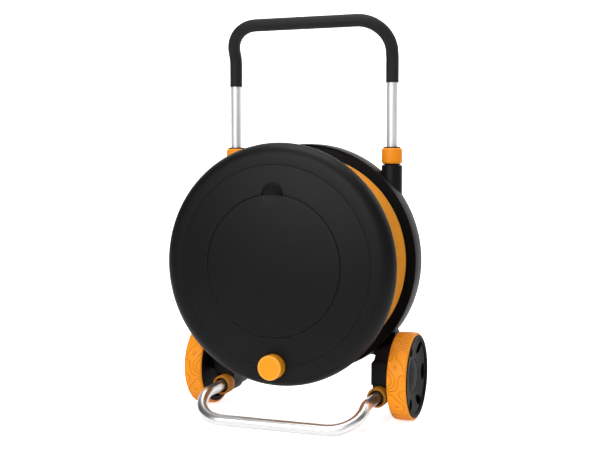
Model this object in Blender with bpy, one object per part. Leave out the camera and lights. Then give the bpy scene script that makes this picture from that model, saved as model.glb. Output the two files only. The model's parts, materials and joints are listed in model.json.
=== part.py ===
"""Hose reel cart: a domed reel on two wheels, with a telescopic tube handle and a bent tube foot.

Metres, +Z up, the domed front towards -Y. The origin lies on the ground under the middle of the cart.
Construction places are measured from the plane of the handle tubes, which is y = 0 on the frame empty.
"""
import math

import bmesh
import bpy
from mathutils import Matrix, Vector

# Clearances
GAP = 0.0003             # between pieces that touch
RUN = 0.0002             # radial, between a shaft or tube and what it turns or slides in
LOOSE = 0.0006           # radial, where a collar passes round a tube without gripping it
CUT_PAST = 0.010         # how far a cutting tool runs past the face it opens

# Roundness of turned pieces
SIDES_LARGE = 40
SIDES_DRUM = 36
SIDES_WHEEL = 28
SIDES_MEDIUM = 20
SIDES_COLLET = 16
SIDES_TUBE = 12
SIDES_SCREW = 8
SIDES_STUD = 6
SIDES_POCKET = 18
SIDES_KNOB = 24
SIDES_HOLLOW = 10
ARC_STEP = math.radians(22.5)
TOOL_TURN = math.radians(2)      # of a small tool, so that its edges miss the larger body's

# Handle
TUBE_RADIUS = 0.011
TUBE_WALL = 0.0016
HANDLE_BAR_HEIGHT = 0.799
HANDLE_BEND_RISE = 0.063      # from the kinks up to the bar
HANDLE_LEAN = math.radians(32)
HANDLE_KINK_RADIUS = 0.045
HANDLE_CORNER_RADIUS = 0.063
HANDLE_INSERT = 0.210         # length of tube inside the column as photographed
HANDLE_DOWN = 0.120           # how far the handle can sink from there
GRIP_WALL = 0.0016
GRIP_DROP = 0.123             # from the bar down to the grip's ends
PLUG_CAP = 0.003
PLUG_SPIGOT = 0.014
PLUG_EDGE_SET = 0.0004        # of the plug's cap inside the tube's outer face
PLUG_CHAMFER = 0.0012

# Columns
COLUMN_SET = 0.0634           # from the disc's edge in to the column's axis
COLUMN_RADIUS = 0.021
COLUMN_RISE = 0.1925          # from the reel's axis to the column's top
COLUMN_CHAMFER = 0.003
COLLET_WALL = 0.003
COLLET_FLANGE = 0.0022
COLLET_FLANGE_WIDTH = 0.0032
COLLET_SPIGOT = 0.012
COLLET_TAPER = 0.0006
COLLET_END_ROOM = 0.002       # between the collet's end and the collar's lip
HANDLE_BORE_SPARE = 0.006     # depth of the sleeve's bore under the lowered handle
COLLAR_RADIUS = 0.0197
COLLAR_LENGTH = 0.033
COLLAR_CHAMFER = 0.0028
COLLAR_LIP = 0.0025
COLLAR_PLAY = 0.0004          # radial, between a collar and its collet
BLOCK_WIDTH = 0.041
BLOCK_FRONT = -0.071
BLOCK_BACK = 0.022
BLOCK_SHOULDER = 0.1145       # height of the block's front edge
BLOCK_STEP = 0.021            # depth of the ledge over the block's front
BLOCK_STEP_RISE = 0.0035
BLOCK_TOP = 0.175             # height where the block's slope meets the column
BLOCK_TOP_SET = 0.003         # how far its top edges lie inside the column
BLOCK_ROUND = 0.0025
GUSSET_FILLET = 0.012
GUSSET_REACH = 0.008          # how far the gusset runs into the column
GUSSET_SET = 0.002            # of its faces inside the column's front and middle

# Foot
FOOT_INSET = 0.004            # of the sockets inside the columns' axes
FOOT_LEG_HEIGHT = 0.049
FOOT_KINK = -0.158
FOOT_BAR = -0.221
FOOT_KINK_RADIUS = 0.038
FOOT_CORNER_RADIUS = 0.061
FOOT_END = -0.020
FOOT_TRAVEL = 0.028
SOCKET_RADIUS = 0.0185
SOCKET_FRONT = -0.0610
SOCKET_SET = 0.0015           # from the block's back to the socket's end
FOOT_BORE_SPARE = 0.004
FOOT_COLLET_SET = 0.005       # from the lower collar's end to its collet's
FOOT_COLLAR_FLARE = 0.0006
FOOT_COLLAR_ROOM = 0.001      # between the lower collar and the block over it
FOOT_COLLAR_RADIUS = 0.020
FOOT_COLLAR_LENGTH = 0.027

# Wheels
TYRE_RADIUS = 0.0885
TYRE_DEPTH = 0.0104           # from the tread to the rim's barrel
TYRE_SHOULDER = 0.005
WHEEL_CLEARANCE = 0.0025      # from the column's block to the wheel
WHEEL_WIDTH = 0.041
RIM_WALL = 0.003
RIM_FLANGE_SET = 0.0052       # from the tread in to the rim's flange
RIM_FLANGE = 0.0027
RIM_CHAMFER = 0.0008
RIM_BARREL_SET = 0.002        # from the tyre's inner face to the barrel's
RIM_BOSS_SET = 0.0005
RIM_BOSS_RADIUS = 0.016
RIM_WEB = 0.003
RIM_WEB_SET = 0.017           # from the inner face to the web
AXLE_RADIUS = 0.006
AXLE_Y = -0.0385
AXLE_HEAD_RADIUS = 0.009
AXLE_HEAD = 0.0025
AXLE_CAP_RADIUS = 0.012
AXLE_CAP_WALL = 0.0018
AXLE_CAP_CHAMFER = 0.002
AXLE_REACH = 0.0045           # of the axle past the wheel's hub
BUSH_WALL = 0.0024
BUSH_FLANGE_WIDTH = 0.004
HUB_CAP_DEPTH = 0.0042        # from the rim's outer face to the cap's back
HUB_CAP_DOME = 0.004
HUB_CAP_EDGE = 0.0015         # of the cap's edge under the rim's face
HUB_CAP_BOSS = 0.030
HUB_HOLLOWS = 6
HUB_HOLLOW_RADIUS = 0.0125
HUB_HOLLOW_DEPTH = 0.0035
HUB_HOLLOW_CIRCLE = 0.055
HUB_HOLLOW_START = math.radians(20)

# Rear shell
REEL_CLEARANCE = 0.0806       # from the ground to the disc's edge
RIM_PROUD = 0.0001            # of the shell's rim past the disc's edge
RIM_FRONT = -0.041
RIM_BACK = 0.002
RIM_FRONT_TAPER = 0.0008
RIM_FRONT_ROUND = 0.0025
RIM_ROLL = 0.0025             # radial depth of the rolled back edge
RIM_ROLL_DEPTH = 0.005
RIM_LIP = 0.0015
RIM_LIP_SET = 0.001
SHELL_WALL = 0.003
SHELL_HUB_RADIUS = 0.031
SHELL_HUB_BACK = 0.012
SHELL_RIBS = 8
SHELL_RIB_WALL = 0.0024
SHELL_RIB_DEPTH = 0.018
SHELL_RIB_FULL = 0.55         # share of the shell's radius where the ribs keep their depth
SHELL_RIB_TAPER = 0.007
SHELL_RIB_ROOT = 0.002        # how far a rib runs into the hub
SHELL_RIB_SINK = 0.001        # how far a rib runs into the wall and the rim
SHELL_SCREW_RISES = (-0.067, 0.083)   # from the reel's axis

# Spindle and water inlet
SPINDLE_RADIUS = 0.014
SPINDLE_BORE = 0.007
SPINDLE_FLANGE_RADIUS = 0.027
SPINDLE_FLANGE = 0.004
SPINDLE_CHAMFER = 0.001
SPINDLE_END_SPARE = 0.002     # of the shaft past its nut
WASHER = 0.0018
NUT = 0.008
NUT_RADIUS = 0.0225
HUB_SCREW_CIRCLE = 0.0215
HUB_SCREWS = 3
HUB_PILOT_SPARE = 0.001
INLET_ARM = 0.060
INLET_RADIUS = 0.0115
INLET_HOUSING_RADIUS = 0.0135
INLET_BORE = 0.0065
INLET_ARM_SET = 0.002         # from the elbow's base to the arm
INLET_ARM_BORE_SET = 0.0004   # how much narrower the arm's bore is
INLET_BACK_WALL = 0.001
INLET_CHAMFER = 0.002
INLET_SEAL = 0.0015
INLET_SEAL_SET = 0.001        # of the seal inside the arm's outer face
CONNECTOR_LENGTH = 0.034
CONNECTOR_BORE_SET = 0.001
CONNECTOR_TIP_RADIUS = 0.0070
CONNECTOR_PROFILE = ((0.0150, 0.0), (0.0150, 0.010), (0.0095, 0.012), (0.0082, 0.016),
                     (0.0082, 0.020), (0.0100, 0.023), (0.0100, 0.026),
                     (0.0078, 0.028))     # radius and distance along the connector

# Reel
DISC_RADIUS = 0.2364
DISC_EDGE_ROUND = 0.0275
DISC_DOME_RADIUS = 1.575
DISC_BACK_SET = 0.001         # of the disc's back edge past the front flange
SKIN = 0.003
HOSE_WIDTH = 0.150
FLANGE_RUN = 0.0054           # from the rear flange to the shell's wall
FLANGE_WALL = 0.003
REAR_FLANGE_SET = 0.0245      # from the shell's rim in to the rear flange
FLANGE_BEAD = 0.0035
FLANGE_BEAD_HEIGHT = 0.0015
FLANGE_BEAD_TAPER = 0.001
FLANGE_BEAD_EDGE = 0.0005
FLANGE_CUP_PLAY = 0.001
FLANGE_DISC_PLAY = 0.0008
DRUM_RADIUS = 0.141
DRUM_WALL = 0.003
DRUM_WEB_SET = 0.063          # from the front flange's back to the drum's web
DRUM_HUB_RADIUS = 0.024
DRUM_HUB_LENGTH = 0.020
REEL_BUSH_WALL = 0.003
REEL_BUSH_SET = 0.001         # of a bush's flange inside the drum's hub
LID_PLAY = 0.0007
LID_SEAT_DEPTH = 0.0145       # from the lid's rim to its ledge
LID_LEDGE = 0.0095
LID_CLIP_WALL = 0.0025
LID_CLIP_SET = 0.0026
GROOVE_SET = 0.0426           # from the disc's edge in to its groove
GROOVE_WIDTH = 0.0016
GROOVE_DEPTH = 0.001
CUP_DEPTH = 0.052
CUP_WALL = 0.0025
CUP_ROOM = 0.0107             # from the drum's wall in to the cup
CUP_PLAY = 0.0005             # from the cup to the lid's ledge
CUP_CORNER = 0.004
CUP_FLANGE_SET = 0.001
POCKET_RADIUS = 0.022
POCKET_DEPTH = 0.008
POCKET_LID_DEPTH = 0.0015
POCKET_WALL = 0.0028
POCKET_TOP_SET = 0.0015       # of the pocket's wall under the lid's rim
POCKET_CORNER = 0.002

# Crank knob
CRANK_SET = 0.0434            # from the disc's edge in to the knob's axis
KNOB_RADIUS = 0.024
KNOB_LENGTH = 0.0258
KNOB_SEAT_SINK = 0.0034       # how deep the knob's seat lies under the dome
KNOB_EDGE = 0.0012
KNOB_WELL_PLAY = 0.0012       # round the knob in its seat
KNOB_WELL_WALL = 0.0022
KNOB_WELL_RISE = 0.0012
KNOB_SEAT_WALL = 0.0065       # from the knob's seat to its back
PIN_RADIUS = 0.005
PIN_REACH = 0.018
PIN_FLANGE_RADIUS = 0.009
PIN_FLANGE = 0.0025
PIN_CHAMFER = 0.0005

# Swivel and hose connector inside the drum
SWIVEL_SET = 0.032            # from the drum's web to the swivel's middle
SWIVEL_LENGTH = 0.030
SWIVEL_RADIUS = 0.024
SWIVEL_PORT_RADIUS = 0.0105
SWIVEL_PORT_LENGTH = 0.045
SEAL_SECTION = 0.0022
SEAL_SET = 0.006              # from the swivel's end to its seal
PORT_ROOT = 0.002             # how far the port runs into the swivel
PIPE_RADIUS = 0.0075
PIPE_BORE = 0.005
PIPE_SEAT = 0.010
HOSE_SPIGOT_RADIUS = 0.012
HOSE_SPIGOT_FLANGE = 0.016
HOSE_SPIGOT_LENGTH = 0.034
HOSE_FLANGE_WALL = 0.003
HOSE_NECK = 0.010
HOSE_TIP_RADIUS = 0.0068
BARBS = 2
BARB_PITCH = 0.006
BARB_FALL = 0.0058
BARB_HIGH = 0.0092
BARB_LOW = 0.0078

# Screws
SCREW_SHANK = 0.0020
SCREW_HEAD = 0.0042
SCREW_HEAD_HEIGHT = 0.0022
SCREW_LENGTH = 0.012
SCREW_PILOT = 0.0023
PILOT_SPARE = 0.0006

# Moulded studs that hold the reel's flanges
STUD_RADIUS = 0.0030
STUD_HEAD_RADIUS = 0.0046
STUD_HEAD = 0.0018
STUD_BOSS = 0.0060
STUD_BOSS_LENGTH = 0.018
STUD_ROOT = 0.0015            # how far a boss runs into the disc's skin
STUD_HOLE_PLAY = 0.0005
STUDS = 4
STUD_START = math.radians(45)
FLANGE_STUD_SET = 0.0314      # from the disc's edge in to the front flange's studs

# Values that follow
COLUMN_X = DISC_RADIUS - COLUMN_SET
FOOT_X = COLUMN_X - FOOT_INSET
REEL_HEIGHT = DISC_RADIUS + REEL_CLEARANCE
COLUMN_TOP = REEL_HEIGHT + COLUMN_RISE
SHELL_SCREW_HEIGHTS = [REEL_HEIGHT + rise for rise in SHELL_SCREW_RISES]
HANDLE_KINK_HEIGHT = HANDLE_BAR_HEIGHT - HANDLE_BEND_RISE
GRIP_LOW = HANDLE_BAR_HEIGHT - GRIP_DROP
RIM_RADIUS = DISC_RADIUS + RIM_PROUD
REAR_FLANGE_RADIUS = RIM_RADIUS - REAR_FLANGE_SET
GROOVE_RADIUS = DISC_RADIUS - GROOVE_SET
CRANK_CIRCLE = DISC_RADIUS - CRANK_SET
FLANGE_STUD_CIRCLE = DISC_RADIUS - FLANGE_STUD_SET
CUP_RADIUS = DRUM_RADIUS - DRUM_WALL - CUP_ROOM
LID_RADIUS = CUP_RADIUS + CUP_PLAY + LID_LEDGE - LID_PLAY
BLOCK_SIDE = COLUMN_X + BLOCK_WIDTH / 2
WHEEL_INNER = BLOCK_SIDE + WHEEL_CLEARANCE
RIM_FLANGE_RADIUS = TYRE_RADIUS - RIM_FLANGE_SET
AXLE_Z = TYRE_RADIUS * math.cos(math.pi / SIDES_WHEEL)
WHEEL_OUTER = WHEEL_INNER + WHEEL_WIDTH
SHELL_WALL_BACK = -(COLUMN_RADIUS + 2 * GAP)
SHELL_WALL_FRONT = SHELL_WALL_BACK - SHELL_WALL
REAR_FLANGE_BACK = SHELL_WALL_FRONT - FLANGE_RUN
REAR_FLANGE_FRONT = REAR_FLANGE_BACK - FLANGE_WALL
FRONT_FLANGE_BACK = REAR_FLANGE_FRONT - HOSE_WIDTH
FRONT_FLANGE_FRONT = FRONT_FLANGE_BACK - FLANGE_WALL
DISC_BACK = FRONT_FLANGE_BACK - DISC_BACK_SET
DOME_CENTRE = DISC_BACK + math.sqrt((DISC_DOME_RADIUS - DISC_EDGE_ROUND) ** 2
                                    - (DISC_RADIUS - DISC_EDGE_ROUND) ** 2)
DRUM_WEB_FRONT = FRONT_FLANGE_BACK + DRUM_WEB_SET
DRUM_WEB_BACK = DRUM_WEB_FRONT + DRUM_WALL
SWIVEL_Y = DRUM_WEB_BACK + SWIVEL_SET
COLLET_INNER = (TUBE_RADIUS + RUN) / math.cos(math.pi / SIDES_COLLET)
COLLET_OUTER = COLLET_INNER + COLLET_WALL

BLACK = ("moulded_black", (0.024, 0.023, 0.024), 0.48, 0.0)
ORANGE = ("moulded_orange", (0.86, 0.30, 0.018), 0.42, 0.0)
GRIP_RUBBER = ("grip_rubber", (0.020, 0.020, 0.021), 0.80, 0.0)
ALUMINIUM = ("anodised_tube", (0.72, 0.71, 0.70), 0.28, 1.0)
STEEL = ("zinc_steel", (0.56, 0.56, 0.57), 0.35, 1.0)
BRASS = ("brass_fitting", (0.70, 0.50, 0.20), 0.30, 1.0)
NYLON = ("nylon_bush", (0.60, 0.59, 0.55), 0.45, 0.0)
SEAL_RUBBER = ("seal_rubber", (0.012, 0.012, 0.012), 0.65, 0.0)


def clear_scene():
    for thing in list(bpy.data.objects):
        bpy.data.objects.remove(thing, do_unlink=True)


def finish(name, colour, roughness, metallic):
    """The material of that name, made once."""
    material = bpy.data.materials.get(name)
    if material is None:
        material = bpy.data.materials.new(name)
        material.use_nodes = True
        shader = material.node_tree.nodes["Principled BSDF"]
        shader.inputs["Base Color"].default_value = (*colour, 1.0)
        shader.inputs["Roughness"].default_value = roughness
        shader.inputs["Metallic"].default_value = metallic
    return material


def axis_empty(name, parent, place):
    """An empty on a joint's axis, placed in the frame's own coordinates."""
    empty = bpy.data.objects.new(name, None)
    bpy.context.scene.collection.objects.link(empty)
    empty.location = place
    empty.parent = parent
    if parent.parent is not None:
        empty.location = Vector(place) - parent.location
    return empty


def put(name, body, holder, look=None, smooth=True):
    """Make an object from a bmesh whose coordinates are measured from the holder's place."""
    bmesh.ops.remove_doubles(body, verts=body.verts, dist=1e-7)
    bmesh.ops.recalc_face_normals(body, faces=body.faces)
    mesh = bpy.data.meshes.new(name)
    body.to_mesh(mesh)
    body.free()
    thing = bpy.data.objects.new(name, mesh)
    bpy.context.scene.collection.objects.link(thing)
    thing.parent = holder
    if look is None:
        thing.hide_render = True
        thing.display_type = 'WIRE'
    else:
        mesh.materials.append(finish(*look))
        if smooth:
            mesh.shade_smooth()
            mesh.set_sharp_from_angle(angle=math.radians(35))
    return thing


def shape_with(target, body, operation):
    """Join or cut the target with a hidden tool that hangs on the same empty."""
    tool = put(target.name + "_tool", body, target.parent)
    step = target.modifiers.new(operation.lower(), 'BOOLEAN')
    step.operation = operation
    step.solver = 'EXACT'
    step.object = tool
    return tool


def join(target, body):
    return shape_with(target, body, 'UNION')


def cut(target, body):
    return shape_with(target, body, 'DIFFERENCE')


def bored(radius, clearance, sides):
    """Corner radius of a polygonal bore whose flats clear a round of the given radius."""
    return (radius + clearance) / math.cos(math.pi / sides)


def on_axis(axis, radius, angle, height, centre):
    """The point at an angle round an axis, which is X, Y or Z, at a height along it."""
    first = radius * math.cos(angle)
    second = radius * math.sin(angle)
    if axis == "X":
        point = Vector((height, first, second))
    elif axis == "Y":
        point = Vector((first, height, second))
    else:
        point = Vector((first, second, height))
    return point + Vector(centre)


def turned(outline, sides, axis="Y", centre=(0, 0, 0), phase=0.0, body=None):
    """Turn a closed outline of (radius, height) points round an axis."""
    body = bmesh.new() if body is None else body
    rings = []
    for radius, height in outline:
        if radius < 1e-6:
            rings.append([body.verts.new(on_axis(axis, 0.0, 0.0, height, centre))] * sides)
        else:
            rings.append([body.verts.new(on_axis(axis, radius, phase + 2 * math.pi * k / sides,
                                                 height, centre)) for k in range(sides)])
    for ring, following in zip(rings, rings[1:] + rings[:1]):
        for k in range(sides):
            after = (k + 1) % sides
            corners = []
            for vert in (ring[k], ring[after], following[after], following[k]):
                if vert not in corners:
                    corners.append(vert)
            if len(corners) > 2:
                body.faces.new(corners)
    return body


def rod(radius, low, high, sides, axis="Y", centre=(0, 0, 0), phase=0.0, body=None):
    """A plain cylinder from low to high along an axis."""
    outline = [(0, low), (radius, low), (radius, high), (0, high)]
    return turned(outline, sides, axis, centre, phase, body)


def sleeve(inner, outer, low, high, sides, axis="Y", centre=(0, 0, 0)):
    """A plain ring between two radii."""
    outline = [(inner, low), (outer, low), (outer, high), (inner, high)]
    return turned(outline, sides, axis, centre)


def extruded(outline, axis, low, high):
    """Push a flat outline along an axis; its points are the two other coordinates in X, Y, Z order."""
    body = bmesh.new()
    ends = []
    for height in (low, high):
        ends.append([])
        for first, second in outline:
            if axis == "X":
                point = (height, first, second)
            elif axis == "Y":
                point = (first, height, second)
            else:
                point = (first, second, height)
            ends[-1].append(body.verts.new(point))
    body.faces.new(ends[0])
    body.faces.new(ends[1])
    count = len(outline)
    for k in range(count):
        after = (k + 1) % count
        body.faces.new((ends[0][k], ends[0][after], ends[1][after], ends[1][k]))
    return body


def arc(centre, radius, start, end, step=ARC_STEP):
    """Points on an arc in a plane, both ends included."""
    count = max(1, math.ceil(abs(end - start) / step - 1e-6))
    angles = [start + (end - start) * k / count for k in range(count + 1)]
    return [(centre[0] + radius * math.cos(a), centre[1] + radius * math.sin(a)) for a in angles]


def rounded_path(corners, radii):
    """Places and headings along a path through corners, each inner corner rounded by its own radius."""
    first = Vector(corners[0])
    path = [(first, (Vector(corners[1]) - first).normalized())]
    for before, corner, after, radius in zip(corners, corners[1:], corners[2:], radii):
        corner = Vector(corner)
        into = (corner - Vector(before)).normalized()
        out = (Vector(after) - corner).normalized()
        turn = into.angle(out)
        reach = radius * math.tan(turn / 2)
        inward = (out - into * into.dot(out)).normalized()
        centre = corner - into * reach + inward * radius
        count = max(2, math.ceil(turn / ARC_STEP))
        for k in range(count + 1):
            a = turn * k / count
            path.append((centre + radius * (into * math.sin(a) - inward * math.cos(a)),
                         into * math.cos(a) + inward * math.sin(a)))
    last = Vector(corners[-1])
    path.append((last, (last - Vector(corners[-2])).normalized()))
    return path


def swept_rings(path, radius, sides, start_normal):
    """Rings of points square to a path, carried along without twist."""
    rings = []
    normal = Vector(start_normal)
    before = path[0][1]
    for point, along in path:
        normal = before.rotation_difference(along) @ normal
        before = along
        other = along.cross(normal)
        angles = [2 * math.pi * n / sides for n in range(sides)]
        rings.append([point + radius * (normal * math.cos(a) + other * math.sin(a)) for a in angles])
    return rings


def loft(rings):
    """A body of faces between rings of as many points each, and from the last back to the first."""
    body = bmesh.new()
    made = [[body.verts.new(point) for point in ring] for ring in rings]
    for ring, following in zip(made, made[1:] + made[:1]):
        count = len(ring)
        for k in range(count):
            after = (k + 1) % count
            body.faces.new((ring[k], ring[after], following[after], following[k]))
    return body


def bent_sleeve(path, inner, outer, sides, start_normal):
    """A tube along a path, open at both ends."""
    outside = swept_rings(path, outer, sides, start_normal)
    inside = swept_rings(path, inner, sides, start_normal)
    return loft(outside + inside[::-1])


def around(count, circle, phase, build):
    """One body with copies of a piece along Y, spaced round a circle about the Y axis."""
    body = bmesh.new()
    for k in range(count):
        a = phase + 2 * math.pi * k / count
        build((circle * math.cos(a), 0, circle * math.sin(a)), body)
    return body


def screw(head_base, direction, centre):
    """A pan head screw along Y: its head stands on head_base, its shank runs against direction."""
    tip = head_base - direction * SCREW_LENGTH
    top = head_base + direction * SCREW_HEAD_HEIGHT
    outline = [(0, tip), (SCREW_SHANK, tip), (SCREW_SHANK, head_base), (SCREW_HEAD, head_base),
               (SCREW_HEAD * 0.75, top), (0, top)]
    return turned(outline, SIDES_SCREW, "Y", centre)


def stud(base, seat):
    """Outline of a moulded stud through a flange, from base to a staked head behind its seat."""
    head = seat + GAP
    return [(0, base), (STUD_RADIUS, base), (STUD_RADIUS, head), (STUD_HEAD_RADIUS, head),
            (STUD_HEAD_RADIUS * 0.8, head + STUD_HEAD), (0, head + STUD_HEAD)]


def dome(radius, depth=0.0):
    """Depth y of the front dome at a radius from the reel's axis, depth metres under its surface."""
    return DOME_CENTRE - math.sqrt((DISC_DOME_RADIUS - depth) ** 2 - radius ** 2)


def edge_arc(depth=0.0, step=ARC_STEP):
    """The disc's rounded edge, from the dome to its back, depth metres under the surface."""
    start = math.asin((DISC_RADIUS - DISC_EDGE_ROUND) / (DISC_DOME_RADIUS - DISC_EDGE_ROUND))
    centre = (DISC_RADIUS - DISC_EDGE_ROUND, DISC_BACK)
    return arc(centre, DISC_EDGE_ROUND - depth, start - math.pi / 2, 0.0, step)


def handle(frame, slider):
    """Bent tube, rubber grip and end plugs, which slide up and down together."""
    low = COLUMN_TOP - HANDLE_INSERT
    lean = (HANDLE_BAR_HEIGHT - HANDLE_KINK_HEIGHT) * math.tan(HANDLE_LEAN)
    corners = [(-COLUMN_X, 0, low), (-COLUMN_X, 0, HANDLE_KINK_HEIGHT),
               (-COLUMN_X, -lean, HANDLE_BAR_HEIGHT), (COLUMN_X, -lean, HANDLE_BAR_HEIGHT),
               (COLUMN_X, 0, HANDLE_KINK_HEIGHT), (COLUMN_X, 0, low)]
    radii = [HANDLE_KINK_RADIUS, HANDLE_CORNER_RADIUS, HANDLE_CORNER_RADIUS, HANDLE_KINK_RADIUS]
    forward = (0, -1, 0)
    path = rounded_path(corners, radii)
    tube = bent_sleeve(path, TUBE_RADIUS - TUBE_WALL, TUBE_RADIUS, SIDES_TUBE, forward)
    put("handle_tube", tube, slider, ALUMINIUM)

    corners[0] = (-COLUMN_X, 0, GRIP_LOW)
    corners[-1] = (COLUMN_X, 0, GRIP_LOW)
    grip_path = rounded_path(corners, radii)
    grip = bent_sleeve(grip_path, TUBE_RADIUS + GAP, TUBE_RADIUS + GAP + GRIP_WALL, SIDES_TUBE, forward)
    put("handle_grip", grip, slider, GRIP_RUBBER)
    for side, word in ((-1, "left"), (1, "right")):
        put("handle_plug_" + word, end_plug(low - GAP, -1, "Z", (side * COLUMN_X, 0, 0)), slider, BLACK)


def end_plug(seat, outward, axis, centre):
    """A plug whose cap stands on the tube's end at seat, with a spigot inside the tube."""
    cap = seat + outward * PLUG_CAP
    tip = seat - outward * PLUG_SPIGOT
    edge = TUBE_RADIUS - PLUG_EDGE_SET
    spigot = (TUBE_RADIUS - TUBE_WALL) * math.cos(math.pi / SIDES_TUBE) - GAP
    outline = [(0, tip), (spigot, tip), (spigot, seat), (edge, seat),
               (edge, seat + outward * PLUG_CAP * 0.6), (edge - PLUG_CHAMFER, cap), (0, cap)]
    return turned(outline, SIDES_TUBE, axis, centre)


def foot(slider):
    """Bent foot tube with its end plugs; it slides along the sockets and rests on a flat of its bar."""
    facet = math.pi / SIDES_TUBE
    bar = TUBE_RADIUS * math.cos(facet)
    turn = facet - math.atan2(FOOT_LEG_HEIGHT - bar, FOOT_KINK - FOOT_BAR)
    side = (-math.sin(turn), 0, math.cos(turn))
    corners = [(-FOOT_X, FOOT_END, FOOT_LEG_HEIGHT), (-FOOT_X, FOOT_KINK, FOOT_LEG_HEIGHT),
               (-FOOT_X, FOOT_BAR, bar), (FOOT_X, FOOT_BAR, bar),
               (FOOT_X, FOOT_KINK, FOOT_LEG_HEIGHT), (FOOT_X, FOOT_END, FOOT_LEG_HEIGHT)]
    radii = [FOOT_KINK_RADIUS, FOOT_CORNER_RADIUS, FOOT_CORNER_RADIUS, FOOT_KINK_RADIUS]
    path = rounded_path(corners, radii)
    tube = bent_sleeve(path, TUBE_RADIUS - TUBE_WALL, TUBE_RADIUS, SIDES_TUBE, side)
    put("foot_tube", tube, slider, ALUMINIUM)
    for side, word in ((-1, "left"), (1, "right")):
        centre = (side * FOOT_X, 0, FOOT_LEG_HEIGHT)
        put("foot_plug_" + word, end_plug(FOOT_END + GAP, 1, "Y", centre), slider, BLACK)


def gusset_outline(side):
    """Web between a column and the shell's rim, with a round fillet under it, as (x, z) points."""
    rim = RIM_RADIUS + GAP
    inner = COLUMN_X - BLOCK_WIDTH / 2
    fillet_x = inner - GUSSET_FILLET
    fillet_z = REEL_HEIGHT - math.sqrt((rim + GUSSET_FILLET) ** 2 - fillet_x ** 2)
    lean = math.atan2(REEL_HEIGHT - fillet_z, -fillet_x)
    under = arc((fillet_x, fillet_z), GUSSET_FILLET, 0.0, lean)
    reach = COLUMN_X - BLOCK_WIDTH / 2 + GUSSET_REACH
    first = math.atan2(under[-1][1] - REEL_HEIGHT, under[-1][0])
    last = math.asin(-math.sqrt(rim ** 2 - reach ** 2) / rim)
    along_rim = arc((0, REEL_HEIGHT), rim / math.cos(math.pi / SIDES_LARGE), first, last,
                    2 * math.pi / SIDES_LARGE)
    outline = under + along_rim[1:] + [(reach, fillet_z)]
    return [(side * x, z) for x, z in outline]


def column(frame, side, word):
    """Handle sleeve, leg, axle block and foot socket, moulded in one piece."""
    x = side * COLUMN_X
    foot_x = side * FOOT_X
    base = BLOCK_SHOULDER
    upright = [(0, base), (COLUMN_RADIUS, base), (COLUMN_RADIUS, COLUMN_TOP - COLUMN_CHAMFER),
               (COLUMN_RADIUS - COLUMN_CHAMFER * 0.5, COLUMN_TOP), (0, COLUMN_TOP)]
    post = put("column_" + word, turned(upright, SIDES_MEDIUM, "Z", (x, 0, 0)), frame, BLACK)

    overhang = FOOT_LEG_HEIGHT + FOOT_COLLAR_RADIUS + FOOT_COLLAR_ROOM
    web = COLUMN_RADIUS - BLOCK_TOP_SET
    profile = [(BLOCK_FRONT, overhang), (BLOCK_FRONT, BLOCK_SHOULDER),
               (BLOCK_FRONT + BLOCK_STEP, BLOCK_SHOULDER + BLOCK_STEP_RISE), (-web, BLOCK_TOP),
               (web, BLOCK_TOP), (BLOCK_BACK, BLOCK_SHOULDER), (BLOCK_BACK, FOOT_LEG_HEIGHT),
               (SOCKET_FRONT, FOOT_LEG_HEIGHT), (SOCKET_FRONT, overhang)]
    block = join(post, extruded(profile, "X", x - BLOCK_WIDTH / 2, x + BLOCK_WIDTH / 2))
    cut(block, rod(bored(RIM_RADIUS, GAP, SIDES_LARGE), RIM_FRONT - GAP, BLOCK_BACK * 2, SIDES_LARGE, "Y",
                   (0, 0, REEL_HEIGHT)))
    edges = block.modifiers.new("edges", 'BEVEL')
    edges.width = BLOCK_ROUND
    edges.segments = 1
    edges.limit_method = 'ANGLE'
    edges.angle_limit = math.radians(40)

    socket_back = BLOCK_BACK - SOCKET_SET
    join(post, rod(SOCKET_RADIUS, SOCKET_FRONT, socket_back, SIDES_MEDIUM, "Y", (foot_x, 0, FOOT_LEG_HEIGHT)))
    join(post, extruded(gusset_outline(side), "Y", -COLUMN_RADIUS + GUSSET_SET, -GUSSET_SET))

    low = COLUMN_TOP - HANDLE_INSERT - HANDLE_DOWN - PLUG_CAP - HANDLE_BORE_SPARE
    handle_bore = bored(TUBE_RADIUS, RUN, SIDES_MEDIUM)
    counter = bored(COLLET_OUTER, GAP, SIDES_MEDIUM)
    seat = COLUMN_TOP - COLLET_SPIGOT
    bores = turned([(0, low), (handle_bore, low), (handle_bore, seat), (counter, seat),
                    (counter, COLUMN_TOP + CUT_PAST), (0, COLUMN_TOP + CUT_PAST)],
                   SIDES_MEDIUM, "Z", (x, 0, 0))
    end = FOOT_END + FOOT_TRAVEL + PLUG_CAP + FOOT_BORE_SPARE
    seat = SOCKET_FRONT + COLLET_SPIGOT
    mouth = SOCKET_FRONT - CUT_PAST
    turned([(0, mouth), (counter, mouth), (counter, seat), (handle_bore, seat),
            (handle_bore, end), (0, end)], SIDES_MEDIUM, "Y", (foot_x, 0, FOOT_LEG_HEIGHT), 0.0, bores)
    bore = bored(AXLE_RADIUS, GAP, SIDES_TUBE)
    rod(bore, x - BLOCK_WIDTH, x + BLOCK_WIDTH, SIDES_TUBE, "X", (0, AXLE_Y, AXLE_Z), 0.0, bores)
    for height in SHELL_SCREW_HEIGHTS:
        rod(SCREW_PILOT, -COLUMN_RADIUS - CUT_PAST, shell_screw_tip() + PILOT_SPARE, SIDES_SCREW, "Y",
            (x, 0, height), 0.0, bores)
    cut(post, bores)


def shell_screw_tip():
    """Depth of the shell screws' tips inside the columns."""
    return SHELL_WALL_FRONT - GAP + SCREW_LENGTH


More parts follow.
